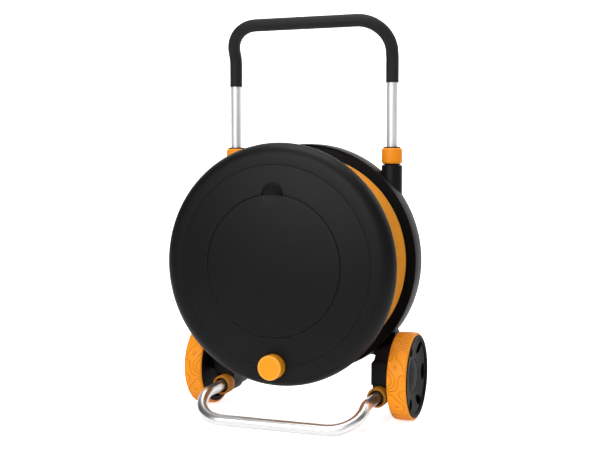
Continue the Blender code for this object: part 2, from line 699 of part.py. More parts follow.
def collet(seat, outward, axis, centre, taper_length):
    """Sleeve round a tube: a spigot in its socket, a thin flange and a tapered end."""
    inner = COLLET_INNER
    outer = COLLET_OUTER
    base = seat - outward * (COLLET_SPIGOT - GAP)
    low = seat + outward * GAP
    high = low + outward * COLLET_FLANGE
    tip = high + outward * taper_length
    flange = outer + COLLET_FLANGE_WIDTH
    outline = [(inner, base), (outer, base), (outer, low), (flange, low), (flange, high),
               (outer, high), (outer - COLLET_TAPER, tip), (inner, tip)]
    return turned(outline, SIDES_COLLET, axis, centre)


def collars(frame, word, side):
    """The collets on the frame, and the two orange twist collars on their own axes."""
    x = side * COLUMN_X
    taper = COLLAR_LENGTH - COLLAR_LIP - 2 * GAP - COLLET_END_ROOM
    put("collet_upper_" + word, collet(COLUMN_TOP, 1, "Z", (x, 0, 0), taper), frame, BLACK)
    low = COLUMN_TOP + COLLET_FLANGE + 2 * GAP
    top = low + COLLAR_LENGTH
    chamfer = COLLAR_CHAMFER
    mouth = bored(TUBE_RADIUS, LOOSE, SIDES_MEDIUM)
    inner = bored(COLLET_OUTER, COLLAR_PLAY, SIDES_MEDIUM)
    outline = [(inner, low), (COLLAR_RADIUS - chamfer * 0.4, low), (COLLAR_RADIUS, low + chamfer * 0.5),
               (COLLAR_RADIUS, top - chamfer), (COLLAR_RADIUS - chamfer * 0.7, top), (mouth, top),
               (mouth, top - COLLAR_LIP), (inner, top - COLLAR_LIP)]
    twist = axis_empty("collar_upper_axis_" + word, frame, (x, 0, low))
    body = turned([(r, z - low) for r, z in outline], SIDES_MEDIUM, "Z")
    put("collar_upper_" + word, body, twist, ORANGE)

    x = side * FOOT_X
    centre = (x, 0, FOOT_LEG_HEIGHT)
    taper = FOOT_COLLAR_LENGTH - FOOT_COLLET_SET
    put("collet_lower_" + word, collet(SOCKET_FRONT, -1, "Y", centre, taper), frame, BLACK)
    back = SOCKET_FRONT - COLLET_FLANGE - 2 * GAP
    twist = axis_empty("collar_lower_axis_" + word, frame, (x, back, FOOT_LEG_HEIGHT))
    length = FOOT_COLLAR_LENGTH
    radius = FOOT_COLLAR_RADIUS
    outline = [(inner, 0), (radius - chamfer * 0.4, 0), (radius, -chamfer * 0.5), (radius, -length + chamfer),
               (radius - chamfer, -length), (inner + FOOT_COLLAR_FLARE, -length)]
    put("collar_lower_" + word, turned(outline, SIDES_MEDIUM, "Y"), twist, ORANGE)


def wheel(frame, word, side):
    """Tyre, rim, hub cap and bush on one axle end, turning about X."""
    spin = axis_empty("wheel_axis_" + word, frame, (0, AXLE_Y, AXLE_Z))
    phase = math.pi / SIDES_WHEEL
    barrel = TYRE_RADIUS - TYRE_DEPTH
    barrel_inner = barrel - RIM_WALL
    inner = WHEEL_INNER
    outer = WHEEL_OUTER
    flange = outer - RIM_FLANGE
    web = inner + RIM_WEB_SET
    boss_end = wheel_boss_end()
    bush_bore = bored(AXLE_RADIUS, RUN, SIDES_TUBE)
    bush_outer = bush_bore + BUSH_WALL
    seat = bush_outer + GAP

    def across(outline, sides, turn=0.0):
        return turned([(r, side * h) for r, h in outline], sides, "X", (0, 0, 0), turn)

    boss_start = inner + RIM_BOSS_SET
    barrel_start = inner + RIM_BARREL_SET
    rim = [(seat, boss_start), (RIM_BOSS_RADIUS, boss_start), (RIM_BOSS_RADIUS, web),
           (barrel_inner, web), (barrel_inner, barrel_start), (barrel, barrel_start), (barrel, flange),
           (RIM_FLANGE_RADIUS, flange), (RIM_FLANGE_RADIUS - RIM_CHAMFER, outer), (barrel_inner, outer),
           (barrel_inner, web + RIM_WEB), (RIM_BOSS_RADIUS, web + RIM_WEB),
           (RIM_BOSS_RADIUS, boss_end), (seat, boss_end)]
    put("wheel_rim_" + word, across(rim, SIDES_WHEEL, phase), spin, BLACK)

    shoulder = TYRE_SHOULDER
    inside = barrel + GAP
    outside = flange - GAP
    tyre = [(inside, inner), (TYRE_RADIUS - shoulder, inner),
            (TYRE_RADIUS - shoulder * 0.3, inner + shoulder * 0.3), (TYRE_RADIUS, inner + shoulder),
            (TYRE_RADIUS, outside - shoulder), (TYRE_RADIUS - shoulder * 0.3, outside - shoulder * 0.3),
            (TYRE_RADIUS - shoulder, outside), (inside, outside)]
    put("tyre_" + word, across(tyre, SIDES_WHEEL, phase), spin, ORANGE)

    flange_end = boss_start - GAP
    bush = [(bush_bore, BLOCK_SIDE + GAP), (bush_outer + BUSH_FLANGE_WIDTH, BLOCK_SIDE + GAP),
            (bush_outer + BUSH_FLANGE_WIDTH, flange_end), (bush_outer, flange_end),
            (bush_outer, boss_end), (bush_bore, boss_end)]
    put("wheel_bush_" + word, across(bush, SIDES_TUBE), spin, NYLON)

    edge = barrel_inner - GAP
    rise = HUB_CAP_DOME
    inside = outer - HUB_CAP_DEPTH
    cap = [(0, outer + rise), (HUB_CAP_BOSS, outer + rise * 0.9), (edge * 0.8, outer + rise * 0.35),
           (edge, outer - HUB_CAP_EDGE), (edge, inside), (0, inside)]
    cover = put("hub_cap_" + word, across(cap, SIDES_WHEEL, phase), spin, BLACK)
    hollows = bmesh.new()
    for k in range(HUB_HOLLOWS):
        a = HUB_HOLLOW_START + 2 * math.pi * k / HUB_HOLLOWS
        spot = (0, HUB_HOLLOW_CIRCLE * math.cos(a), HUB_HOLLOW_CIRCLE * math.sin(a))
        bowl = bowl_outline(HUB_HOLLOW_RADIUS, HUB_HOLLOW_DEPTH, -outer - rise * 0.5, 2)
        turned([(r, -side * h) for r, h in bowl], SIDES_HOLLOW, "X", spot, 0.0, hollows)
    cut(cover, hollows)


def wheel_boss_end():
    """Distance of the wheel's hub end from the midplane, short enough for the axle cap."""
    return WHEEL_OUTER - HUB_CAP_DEPTH - AXLE_REACH - AXLE_CAP_WALL - 3 * GAP


def axle(frame, word, side):
    """Headed steel axle through the column's block, with a push-on cap at its outer end."""
    boss_end = wheel_boss_end()
    end = boss_end + AXLE_REACH
    head = COLUMN_X - BLOCK_WIDTH / 2 - GAP
    centre = (0, AXLE_Y, AXLE_Z)
    pin = [(0, head - AXLE_HEAD), (AXLE_HEAD_RADIUS, head - AXLE_HEAD), (AXLE_HEAD_RADIUS, head),
           (AXLE_RADIUS, head), (AXLE_RADIUS, end), (0, end)]
    bore = bored(AXLE_RADIUS, GAP, SIDES_TUBE)
    cap = [(bore, boss_end + GAP), (AXLE_CAP_RADIUS, boss_end + GAP), (AXLE_CAP_RADIUS, end),
           (AXLE_CAP_RADIUS - AXLE_CAP_CHAMFER, end + GAP + AXLE_CAP_WALL), (0, end + GAP + AXLE_CAP_WALL),
           (0, end + GAP), (bore, end + GAP)]
    for name, outline in (("wheel_axle_", pin), ("axle_cap_", cap)):
        body = turned([(r, side * h) for r, h in outline], SIDES_TUBE, "X", centre)
        put(name + word, body, frame, STEEL)


def rear_shell(frame, hub):
    """Black dish behind the reel: rolled rim, wall, ribs and hub. It stands still."""
    bore = bored(SPINDLE_RADIUS, GAP, SIDES_MEDIUM)
    rim_inner = RIM_RADIUS - SHELL_WALL
    roll = RIM_BACK - RIM_ROLL_DEPTH
    outline = [(bore, SHELL_WALL_FRONT), (rim_inner, SHELL_WALL_FRONT), (rim_inner, RIM_FRONT),
               (RIM_RADIUS - RIM_FRONT_TAPER, RIM_FRONT), (RIM_RADIUS, RIM_FRONT + RIM_FRONT_ROUND),
               (RIM_RADIUS, roll), (RIM_RADIUS - RIM_ROLL, RIM_BACK),
               (rim_inner - RIM_LIP, RIM_BACK - RIM_LIP_SET), (rim_inner, roll),
               (rim_inner, SHELL_WALL_BACK), (SHELL_HUB_RADIUS, SHELL_WALL_BACK),
               (SHELL_HUB_RADIUS, SHELL_HUB_BACK), (bore, SHELL_HUB_BACK)]
    shell = put("rear_shell", turned(outline, SIDES_LARGE), hub, BLACK)

    ribs = bmesh.new()
    rib_back = SHELL_WALL_BACK + SHELL_RIB_DEPTH
    rib_front = SHELL_WALL_BACK - SHELL_RIB_SINK
    root = SHELL_HUB_RADIUS - SHELL_RIB_ROOT
    end = rim_inner + SHELL_RIB_SINK
    for k in range(SHELL_RIBS):
        a = math.pi * (2 * k + 1) / SHELL_RIBS
        rib = extruded([(root, rib_front), (root, rib_back), (rim_inner * SHELL_RIB_FULL, rib_back),
                        (end, rib_back - SHELL_RIB_TAPER), (end, rib_front)],
                       "Z", -SHELL_RIB_WALL / 2, SHELL_RIB_WALL / 2)
        rib.transform(Matrix.Rotation(a, 4, 'Y'))
        part = bpy.data.meshes.new("rib")
        rib.to_mesh(part)
        rib.free()
        ribs.from_mesh(part)
        bpy.data.meshes.remove(part)
    join(shell, ribs)
    holes = bmesh.new()
    for side in (-1, 1):
        for height in SHELL_SCREW_HEIGHTS:
            rod(SCREW_PILOT, SHELL_WALL_FRONT - CUT_PAST, SHELL_WALL_BACK + CUT_PAST, SIDES_SCREW, "Y",
                (side * COLUMN_X, 0, height - REEL_HEIGHT), 0.0, holes)
    for spot in hub_screw_places():
        rod(SCREW_PILOT, hub_screw_base() - SCREW_LENGTH - HUB_PILOT_SPARE, SHELL_HUB_BACK + CUT_PAST,
            SIDES_SCREW, "Y", spot, 0.0, holes)
    cut(shell, holes)
    notches = bmesh.new()
    for side in (-1, 1):
        rod(bored(COLUMN_RADIUS, GAP, SIDES_MEDIUM), -REEL_HEIGHT, REEL_HEIGHT, SIDES_MEDIUM, "Z",
            (side * COLUMN_X, 0, 0), 0.0, notches)
    cut(shell, notches)

    for side, word in ((-1, "left"), (1, "right")):
        for height, level in zip(SHELL_SCREW_HEIGHTS, ("low", "high")):
            spot = (side * COLUMN_X, 0, height - REEL_HEIGHT)
            put("shell_screw_" + level + "_" + word, screw(SHELL_WALL_FRONT - GAP, -1, spot), hub, STEEL)


def hub_screw_places():
    """Places of the screws round the spindle's flange."""
    angles = [math.pi / 2 + 2 * math.pi * k / HUB_SCREWS for k in range(HUB_SCREWS)]
    return [(HUB_SCREW_CIRCLE * math.cos(a), 0, HUB_SCREW_CIRCLE * math.sin(a)) for a in angles]


def hub_screw_base():
    """Depth of the seat of the hub screws' heads, behind the spindle's flange."""
    return SHELL_HUB_BACK + GAP + SPINDLE_FLANGE + GAP


def spindle(hub):
    """Hollow fixed shaft with its flange, washer, nut and screws."""
    flange_front = SHELL_HUB_BACK + GAP
    flange_back = flange_front + SPINDLE_FLANGE
    nut_back = DRUM_WEB_FRONT - REEL_BUSH_WALL - 2 * GAP
    tip = nut_back - WASHER - NUT - 3 * GAP - SPINDLE_END_SPARE
    outline = [(0, tip), (SPINDLE_RADIUS - SPINDLE_CHAMFER, tip), (SPINDLE_RADIUS, tip + SPINDLE_CHAMFER),
               (SPINDLE_RADIUS, flange_front), (SPINDLE_FLANGE_RADIUS, flange_front),
               (SPINDLE_FLANGE_RADIUS, flange_back), (SPINDLE_BORE, flange_back),
               (SPINDLE_BORE, SWIVEL_Y - SPINDLE_BORE), (0, SWIVEL_Y - SPINDLE_BORE)]
    shaft = put("reel_spindle", turned(outline, SIDES_MEDIUM), hub, NYLON)
    cut(shaft, rod(PIPE_BORE, -SPINDLE_RADIUS - CUT_PAST, 0, SIDES_TUBE, "Z", (0, SWIVEL_Y, 0)))
    holes = bmesh.new()
    for k, spot in enumerate(hub_screw_places()):
        rod(SCREW_PILOT, flange_front - CUT_PAST, flange_back + CUT_PAST, SIDES_SCREW, "Y", spot, 0.0, holes)
        put("hub_screw_" + str(k + 1), screw(hub_screw_base(), 1, spot), hub, STEEL)
    cut(shaft, holes)

    inner = bored(SPINDLE_RADIUS, GAP, SIDES_MEDIUM)
    put("spindle_washer", sleeve(inner, DRUM_HUB_RADIUS, nut_back - WASHER, nut_back, SIDES_MEDIUM),
        hub, STEEL)
    nut_front = nut_back - WASHER - GAP - NUT
    hexagon = put("spindle_nut", rod(NUT_RADIUS, nut_front, nut_front + NUT, 6), hub, BRASS, smooth=False)
    cut(hexagon, rod(inner, nut_front - CUT_PAST, nut_front + NUT + CUT_PAST, SIDES_MEDIUM))


def inlet(hub):
    """Water inlet at the back: elbow, seal and threaded connector pointing right."""
    base = SHELL_HUB_BACK + SPINDLE_FLANGE + 2 * GAP
    arm_y = base + INLET_RADIUS + INLET_ARM_SET
    back = arm_y + INLET_RADIUS + INLET_BACK_WALL
    elbow = put("inlet_elbow", turned([(0, base), (INLET_HOUSING_RADIUS, base),
                                       (INLET_HOUSING_RADIUS, back - INLET_CHAMFER),
                                       (INLET_HOUSING_RADIUS - INLET_CHAMFER, back), (0, back)],
                                      SIDES_TUBE), hub, BLACK)
    centre = (0, arm_y, 0)
    join(elbow, rod(INLET_RADIUS, 0, INLET_ARM, SIDES_TUBE, "X", centre, 2 * TOOL_TURN))
    cut(elbow, rod(INLET_BORE, base - CUT_PAST, arm_y + INLET_BORE * 0.8, SIDES_TUBE))
    cut(elbow, rod(INLET_BORE - INLET_ARM_BORE_SET, 0, INLET_ARM + CUT_PAST, SIDES_TUBE, "X", centre))
    start = INLET_ARM + GAP
    put("inlet_seal", sleeve(INLET_BORE, INLET_RADIUS - INLET_SEAL_SET, start, start + INLET_SEAL,
                             SIDES_TUBE, "X", centre), hub, SEAL_RUBBER)
    start += INLET_SEAL + GAP
    reach = start + CONNECTOR_LENGTH
    bore = INLET_BORE - CONNECTOR_BORE_SET
    outline = [(bore, start)] + [(radius, start + along) for radius, along in CONNECTOR_PROFILE]
    outline += [(CONNECTOR_TIP_RADIUS, reach), (bore, reach)]
    put("inlet_connector", turned(outline, SIDES_TUBE, "X", centre), hub, ORANGE)


def front_disc(reel):
    """The domed disc: lid opening, ledge, groove, finger pocket, crank seat and studs."""
    opening = LID_RADIUS + LID_PLAY
    seat = dome(LID_RADIUS) + LID_SEAT_DEPTH
    ledge = opening - LID_LEDGE
    outline = [(opening, dome(opening)),
               (GROOVE_RADIUS - GROOVE_WIDTH / 2, dome(GROOVE_RADIUS - GROOVE_WIDTH / 2)),
               (GROOVE_RADIUS, dome(GROOVE_RADIUS) + GROOVE_DEPTH),
               (GROOVE_RADIUS + GROOVE_WIDTH / 2, dome(GROOVE_RADIUS + GROOVE_WIDTH / 2))]
    outline += edge_arc()
    outline += edge_arc(SKIN, math.radians(45))[::-1]
    outline += [(opening + SKIN, dome(opening + SKIN, SKIN)), (opening + SKIN, seat + SKIN),
                (ledge, seat + SKIN), (ledge, seat), (opening, seat)]
    disc = put("front_disc", turned(outline, SIDES_LARGE), reel, BLACK)

    pocket_top = dome(LID_RADIUS)
    outer = POCKET_RADIUS + POCKET_WALL
    wall_top = pocket_top + POCKET_TOP_SET
    bowl = join(disc, turned([(0, wall_top), (outer, wall_top), (outer, pocket_top + POCKET_DEPTH * 0.5),
                              (outer * 0.7, pocket_top + POCKET_DEPTH + POCKET_CORNER),
                              (0, pocket_top + POCKET_DEPTH + POCKET_WALL)], SIDES_POCKET, "Y",
                             (0, 0, LID_RADIUS), TOOL_TURN))
    cut(bowl, rod(opening + SKIN * 0.5, DISC_BACK - DISC_RADIUS, 0.0, SIDES_LARGE, "Y", (0, 0, 0),
                  TOOL_TURN / 2))
    knob_seat = dome(CRANK_CIRCLE) + KNOB_SEAT_SINK
    spot = (0, 0, -CRANK_CIRCLE)
    well = KNOB_RADIUS + KNOB_WELL_PLAY
    join(disc, rod(well + KNOB_WELL_WALL, knob_seat - KNOB_WELL_RISE, knob_seat + KNOB_SEAT_WALL,
                   SIDES_MEDIUM, "Y", spot, TOOL_TURN))

    top = dome(FLANGE_STUD_CIRCLE, SKIN) - STUD_ROOT
    base = FRONT_FLANGE_FRONT - GAP
    outline = [(0, top), (STUD_BOSS, top), (STUD_BOSS, base)] + stud(base, FRONT_FLANGE_BACK)[1:]
    join(disc, around(STUDS, FLANGE_STUD_CIRCLE, STUD_START,
                      lambda place, body: turned(outline, SIDES_STUD, "Y", place, TOOL_TURN, body)))
    hollows = turned(bowl_outline(POCKET_RADIUS, POCKET_DEPTH, pocket_top), SIDES_POCKET, "Y",
                     (0, 0, LID_RADIUS))
    pin = bored(PIN_RADIUS, GAP, SIDES_TUBE)
    mouth = knob_seat - 2 * CUT_PAST
    turned([(0, mouth), (well, mouth), (well, knob_seat), (pin, knob_seat), (pin, knob_seat + CUT_PAST),
            (0, knob_seat + CUT_PAST)], SIDES_MEDIUM, "Y", spot, math.radians(11), hollows)
    cut(disc, hollows)
    return knob_seat


def bowl_outline(radius, depth, level, steps=3):
    """Outline of a cutter that sinks a round bowl of a radius and depth below a level along Y."""
    ball = (radius ** 2 + depth ** 2) / (2 * depth)
    centre = level + depth - ball
    spread = min(math.asin(min(radius * 1.25 / ball, 1.0)), math.radians(85))
    curve = arc((0, centre), ball, math.pi / 2, math.pi / 2 - spread, spread / steps)
    return curve + [(0, curve[-1][1])]


def lid(cover):
    """Round lid of the compartment; its clip ring stands on the ledge."""
    seat = dome(LID_RADIUS) + LID_SEAT_DEPTH
    clip = LID_RADIUS - LID_CLIP_SET
    inner_clip = clip - LID_CLIP_WALL
    outline = [(0, dome(0))] + [(LID_RADIUS * s, dome(LID_RADIUS * s)) for s in (0.4, 0.7)]
    outline += [(LID_RADIUS, dome(LID_RADIUS)), (LID_RADIUS, dome(LID_RADIUS, SKIN)),
                (clip, dome(clip, SKIN)), (clip, seat - GAP), (inner_clip, seat - GAP),
                (inner_clip, dome(inner_clip, SKIN))]
    outline += [(LID_RADIUS * 0.6, dome(LID_RADIUS * 0.6, SKIN)), (0, dome(0, SKIN))]
    plate = put("compartment_lid", turned(outline, SIDES_DRUM), cover, BLACK)
    hollow = turned(bowl_outline(POCKET_RADIUS, POCKET_LID_DEPTH, 0.0, 2), SIDES_POCKET, "Y", (0, 0, 0),
                    TOOL_TURN)
    lean = math.asin(LID_RADIUS / DISC_DOME_RADIUS)
    hollow.transform(Matrix.Translation((0, dome(LID_RADIUS), LID_RADIUS)) @ Matrix.Rotation(-lean, 4, 'X'))
    cut(plate, hollow)


def crank(reel, knob_axis, knob_seat):
    """Steel pin on the disc and the knob that turns on it."""
    boss_back = knob_seat + KNOB_SEAT_WALL
    pin_front = knob_seat - PIN_REACH
    outline = [(0, pin_front), (PIN_RADIUS - PIN_CHAMFER, pin_front), (PIN_RADIUS, pin_front + PIN_CHAMFER),
               (PIN_RADIUS, boss_back + GAP), (PIN_FLANGE_RADIUS, boss_back + GAP),
               (PIN_FLANGE_RADIUS, boss_back + GAP + PIN_FLANGE), (0, boss_back + GAP + PIN_FLANGE)]
    put("crank_pin", turned(outline, SIDES_TUBE, "Y", (0, 0, -CRANK_CIRCLE)), reel, STEEL)
    back = knob_seat - GAP
    face = back - KNOB_LENGTH
    bore = bored(PIN_RADIUS, RUN, SIDES_TUBE)
    outline = [(0, face), (KNOB_RADIUS - KNOB_EDGE, face), (KNOB_RADIUS, face + KNOB_EDGE),
               (KNOB_RADIUS, back), (bore, back),
               (bore, pin_front - GAP), (0, pin_front - GAP)]
    place = knob_axis.location.y
    put("crank_knob", turned([(r, y - place) for r, y in outline], SIDES_KNOB), knob_axis, ORANGE)


def reel_body(reel):
    """Flanges, drum, compartment cup and bushes, which turn with the disc."""
    opening = LID_RADIUS + LID_PLAY
    seat = dome(LID_RADIUS) + LID_SEAT_DEPTH + SKIN
    cup_inner = CUP_RADIUS - CUP_WALL
    floor = seat + CUP_DEPTH
    flange = opening + SKIN - CUP_FLANGE_SET
    outline = [(0, floor), (CUP_RADIUS - CUP_CORNER, floor), (CUP_RADIUS, floor - CUP_CORNER),
               (CUP_RADIUS, seat + GAP + CUP_WALL), (flange, seat + GAP + CUP_WALL),
               (flange, seat + GAP), (cup_inner, seat + GAP), (cup_inner, floor - CUP_WALL),
               (0, floor - CUP_WALL)]
    put("compartment_cup", turned(outline, SIDES_DRUM), reel, BLACK)

    inner = CUP_RADIUS + FLANGE_CUP_PLAY
    plate = put("front_flange", sleeve(inner, DISC_RADIUS - SKIN - FLANGE_DISC_PLAY, FRONT_FLANGE_FRONT,
                                       FRONT_FLANGE_BACK, SIDES_LARGE), reel, BLACK)
    cut(plate, around(STUDS, FLANGE_STUD_CIRCLE, STUD_START,
                      lambda place, body: rod(STUD_RADIUS + STUD_HOLE_PLAY, FRONT_FLANGE_FRONT - CUT_PAST,
                                              FRONT_FLANGE_BACK + CUT_PAST, SIDES_STUD, "Y",
                                              place, TOOL_TURN, body)))

    bush_bore = bored(SPINDLE_RADIUS, RUN, SIDES_MEDIUM)
    bush_outer = bush_bore + REEL_BUSH_WALL
    hub_bore = bush_outer + GAP
    front = FRONT_FLANGE_BACK + GAP
    back = REAR_FLANGE_FRONT - GAP
    wall = DRUM_RADIUS - DRUM_WALL
    outline = [(DRUM_RADIUS, front), (DRUM_RADIUS, back), (wall, back), (wall, DRUM_WEB_BACK),
               (DRUM_HUB_RADIUS, DRUM_WEB_BACK), (DRUM_HUB_RADIUS, DRUM_WEB_FRONT + DRUM_HUB_LENGTH),
               (hub_bore, DRUM_WEB_FRONT + DRUM_HUB_LENGTH), (hub_bore, DRUM_WEB_FRONT),
               (wall, DRUM_WEB_FRONT), (wall, front)]
    drum = put("hose_drum", turned(outline, SIDES_DRUM), reel, ORANGE)
    boss_circle = wall - STUD_BOSS * 0.8
    boss_back = back - GAP
    boss = [(0, back - STUD_BOSS_LENGTH), (STUD_BOSS, back - STUD_BOSS_LENGTH), (STUD_BOSS, boss_back)]
    boss += stud(boss_back, REAR_FLANGE_BACK)[1:]
    join(drum, around(STUDS, boss_circle, STUD_START,
                      lambda place, body: turned(boss, SIDES_STUD, "Y", place, TOOL_TURN, body)))
    cut(drum, rod(HOSE_SPIGOT_RADIUS + GAP, -DRUM_RADIUS - CUT_PAST, -wall * 0.8, SIDES_TUBE, "Z",
                  (0, SWIVEL_Y, 0)))

    bead_inner = REAR_FLANGE_RADIUS - FLANGE_BEAD
    hub_front = REAR_FLANGE_BACK - DRUM_HUB_LENGTH
    bead_front = REAR_FLANGE_FRONT - FLANGE_BEAD_HEIGHT
    outline = [(hub_bore, hub_front), (DRUM_HUB_RADIUS, hub_front), (DRUM_HUB_RADIUS, REAR_FLANGE_FRONT),
               (bead_inner, REAR_FLANGE_FRONT), (bead_inner + FLANGE_BEAD_TAPER, bead_front),
               (REAR_FLANGE_RADIUS - FLANGE_BEAD_EDGE, bead_front), (REAR_FLANGE_RADIUS, REAR_FLANGE_BACK),
               (hub_bore, REAR_FLANGE_BACK)]
    disc = put("rear_flange", turned(outline, SIDES_LARGE), reel, ORANGE)
    cut(disc, around(STUDS, boss_circle, STUD_START,
                     lambda place, body: rod(STUD_RADIUS + STUD_HOLE_PLAY, REAR_FLANGE_FRONT - CUT_PAST,
                                             REAR_FLANGE_BACK + CUT_PAST, SIDES_STUD, "Y",
                                             place, TOOL_TURN, body)))

    bush_flange = REEL_BUSH_WALL
    front = DRUM_WEB_FRONT - GAP
    edge = DRUM_HUB_RADIUS - REEL_BUSH_SET
    outline = [(bush_bore, front - bush_flange), (edge, front - bush_flange), (edge, front),
               (bush_outer, front),
               (bush_outer, DRUM_WEB_FRONT + DRUM_HUB_LENGTH), (bush_bore, DRUM_WEB_FRONT + DRUM_HUB_LENGTH)]
    put("reel_bush_front", turned(outline, SIDES_MEDIUM), reel, NYLON)
    back = REAR_FLANGE_BACK + GAP
    outline = [(bush_bore, hub_front), (bush_outer, hub_front), (bush_outer, back),
               (edge, back), (edge, back + bush_flange),
               (bush_bore, back + bush_flange)]
    put("reel_bush_rear", turned(outline, SIDES_MEDIUM), reel, NYLON)


def swivel(reel):
    """Water swivel on the spindle, its seals, the feed pipe and the hose connector on the drum."""
    low = SWIVEL_Y - SWIVEL_LENGTH / 2
    high = SWIVEL_Y + SWIVEL_LENGTH / 2
    bore = bored(SPINDLE_RADIUS, 2 * GAP, SIDES_MEDIUM)
    groove = bored(SPINDLE_RADIUS, RUN, SIDES_MEDIUM) + SEAL_SECTION + GAP
    seal_places = [low + SEAL_SET, high - SEAL_SET]
    outline = [(bore, low), (SWIVEL_RADIUS, low), (SWIVEL_RADIUS, high), (bore, high)]
    half = SEAL_SECTION / 2 + GAP
    for place in reversed(seal_places):
        outline += [(bore, place + half), (groove, place + half), (groove, place - half),
                    (bore, place - half)]
    housing = put("swivel_housing", turned(outline, SIDES_MEDIUM), reel, BLACK)
    join(housing, rod(SWIVEL_PORT_RADIUS, -SWIVEL_PORT_LENGTH, -groove - PORT_ROOT, SIDES_TUBE, "Z",
                      (0, SWIVEL_Y, 0)))
    port = -SWIVEL_PORT_LENGTH
    cut(housing, turned([(0, port - CUT_PAST), (PIPE_RADIUS + GAP, port - CUT_PAST),
                         (PIPE_RADIUS + GAP, port + PIPE_SEAT), (PIPE_BORE, port + PIPE_SEAT),
                         (PIPE_BORE, -SPINDLE_RADIUS), (0, -SPINDLE_RADIUS)], SIDES_TUBE, "Z",
                        (0, SWIVEL_Y, 0)))
    seal_inner = bored(SPINDLE_RADIUS, RUN, SIDES_MEDIUM)
    for place, word in zip(seal_places, ("front", "rear")):
        ring = sleeve(seal_inner, seal_inner + SEAL_SECTION, place - SEAL_SECTION / 2,
                      place + SEAL_SECTION / 2, SIDES_MEDIUM)
        put("swivel_seal_" + word, ring, reel, SEAL_RUBBER)

    wall = (DRUM_RADIUS - DRUM_WALL) * math.cos(math.pi / SIDES_DRUM)
    flange_top = -(math.sqrt(wall ** 2 - HOSE_SPIGOT_FLANGE ** 2) - GAP)
    flange = HOSE_FLANGE_WALL
    pipe_end = flange_top + flange + GAP
    put("feed_pipe", sleeve(PIPE_BORE, PIPE_RADIUS, pipe_end, port + PIPE_SEAT - GAP, SIDES_TUBE, "Z",
                            (0, SWIVEL_Y, 0)), reel, BLACK)
    reach = flange_top - HOSE_SPIGOT_LENGTH
    neck = flange_top - HOSE_NECK
    outline = [(PIPE_BORE, flange_top + flange), (HOSE_SPIGOT_FLANGE, flange_top + flange),
               (HOSE_SPIGOT_FLANGE, flange_top), (HOSE_SPIGOT_RADIUS, flange_top),
               (HOSE_SPIGOT_RADIUS, neck)]
    for k in range(BARBS):
        start = neck - BARB_PITCH * k
        outline += [(BARB_HIGH, start), (BARB_LOW, start - BARB_FALL)]
    outline += [(HOSE_TIP_RADIUS, reach), (PIPE_BORE, reach)]
    put("hose_connector", turned(outline, SIDES_TUBE, "Z", (0, SWIVEL_Y, 0)), reel, BRASS)


def build():
    clear_scene()
    knob_face = dome(CRANK_CIRCLE) + KNOB_SEAT_SINK - GAP - KNOB_LENGTH
    wheel_back = AXLE_Y + AXLE_Z
    root = bpy.data.objects.new("cart_frame", None)
    bpy.context.scene.collection.objects.link(root)
    root.location = (0, -(knob_face + wheel_back) / 2, 0)

    hub = axis_empty("reel_axis", root, (0, 0, REEL_HEIGHT))
    knob_axis = axis_empty("knob_axis", hub, (0, knob_face, REEL_HEIGHT - CRANK_CIRCLE))
    slider = axis_empty("handle_slide", root, (0, 0, 0))
    foot_slider = axis_empty("foot_slide", root, (0, 0, 0))

    handle(root, slider)
    foot(foot_slider)
    for side, word in ((-1, "left"), (1, "right")):
        column(root, side, word)
        collars(root, word, side)
        wheel(root, word, side)
        axle(root, word, side)
    rear_shell(root, hub)
    spindle(hub)
    inlet(hub)
    knob_seat = front_disc(hub)
    lid(hub)
    crank(hub, knob_axis, knob_seat)
    reel_body(hub)
    swivel(hub)


build()
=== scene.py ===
"""A hose reel cart in plain studio light: moulded, drawn and turned pieces stand for its plain solids.

Metres, +Z up, the domed front towards -Y. Outlines are measured from the plane of the handle tubes,
the ground and the midplane, as a maker would take them from the cart itself.
"""
import json
import math

import bpy
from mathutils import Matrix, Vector


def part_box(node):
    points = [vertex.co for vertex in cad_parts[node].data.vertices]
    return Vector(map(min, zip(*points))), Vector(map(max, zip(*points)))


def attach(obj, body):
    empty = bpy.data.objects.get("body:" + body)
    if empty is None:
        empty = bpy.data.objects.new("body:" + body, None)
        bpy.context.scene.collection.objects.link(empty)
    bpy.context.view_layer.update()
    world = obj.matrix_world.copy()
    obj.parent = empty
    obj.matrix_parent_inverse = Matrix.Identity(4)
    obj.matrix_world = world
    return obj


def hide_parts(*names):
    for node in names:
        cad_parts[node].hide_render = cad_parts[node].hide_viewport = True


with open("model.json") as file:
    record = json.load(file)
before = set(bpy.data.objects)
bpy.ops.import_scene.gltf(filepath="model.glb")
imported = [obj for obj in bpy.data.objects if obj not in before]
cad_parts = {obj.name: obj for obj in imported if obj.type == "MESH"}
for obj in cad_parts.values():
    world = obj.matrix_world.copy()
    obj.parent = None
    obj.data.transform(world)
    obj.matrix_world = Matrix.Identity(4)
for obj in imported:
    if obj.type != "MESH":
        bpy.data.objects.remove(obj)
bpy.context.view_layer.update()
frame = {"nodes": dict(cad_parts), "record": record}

# The camera comes first: it stands to the right of the cart's front and a little above the reel.
SIGHT = Vector((-0.3563, 0.9324, -0.0607)).normalized()
CAMERA_PLACE = (0.75299, -1.94732, 0.51605)
LENS = 62.3

# Places shared by several pieces; depths in outlines count from PLANE
low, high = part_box("collar_upper_right")
PLANE = (low.y + high.y) / 2          # depth of the handle tubes
COLUMN_X = (low.x + high.x) / 2
low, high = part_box("tyre_right")
AXLE_Z = (low.z + high.z) / 2         # the tyre's radius too
AXLE_Y = PLANE - 0.0385
AXLE = (0, AXLE_Y, AXLE_Z)
REEL_Z = 0.317
HUB = Vector((0, PLANE, REEL_Z))
FOOT_X = COLUMN_X - 0.004
FOOT_Z = 0.049
GAP = 0.0003                          # between pieces that touch
ARC = math.radians(11.25)

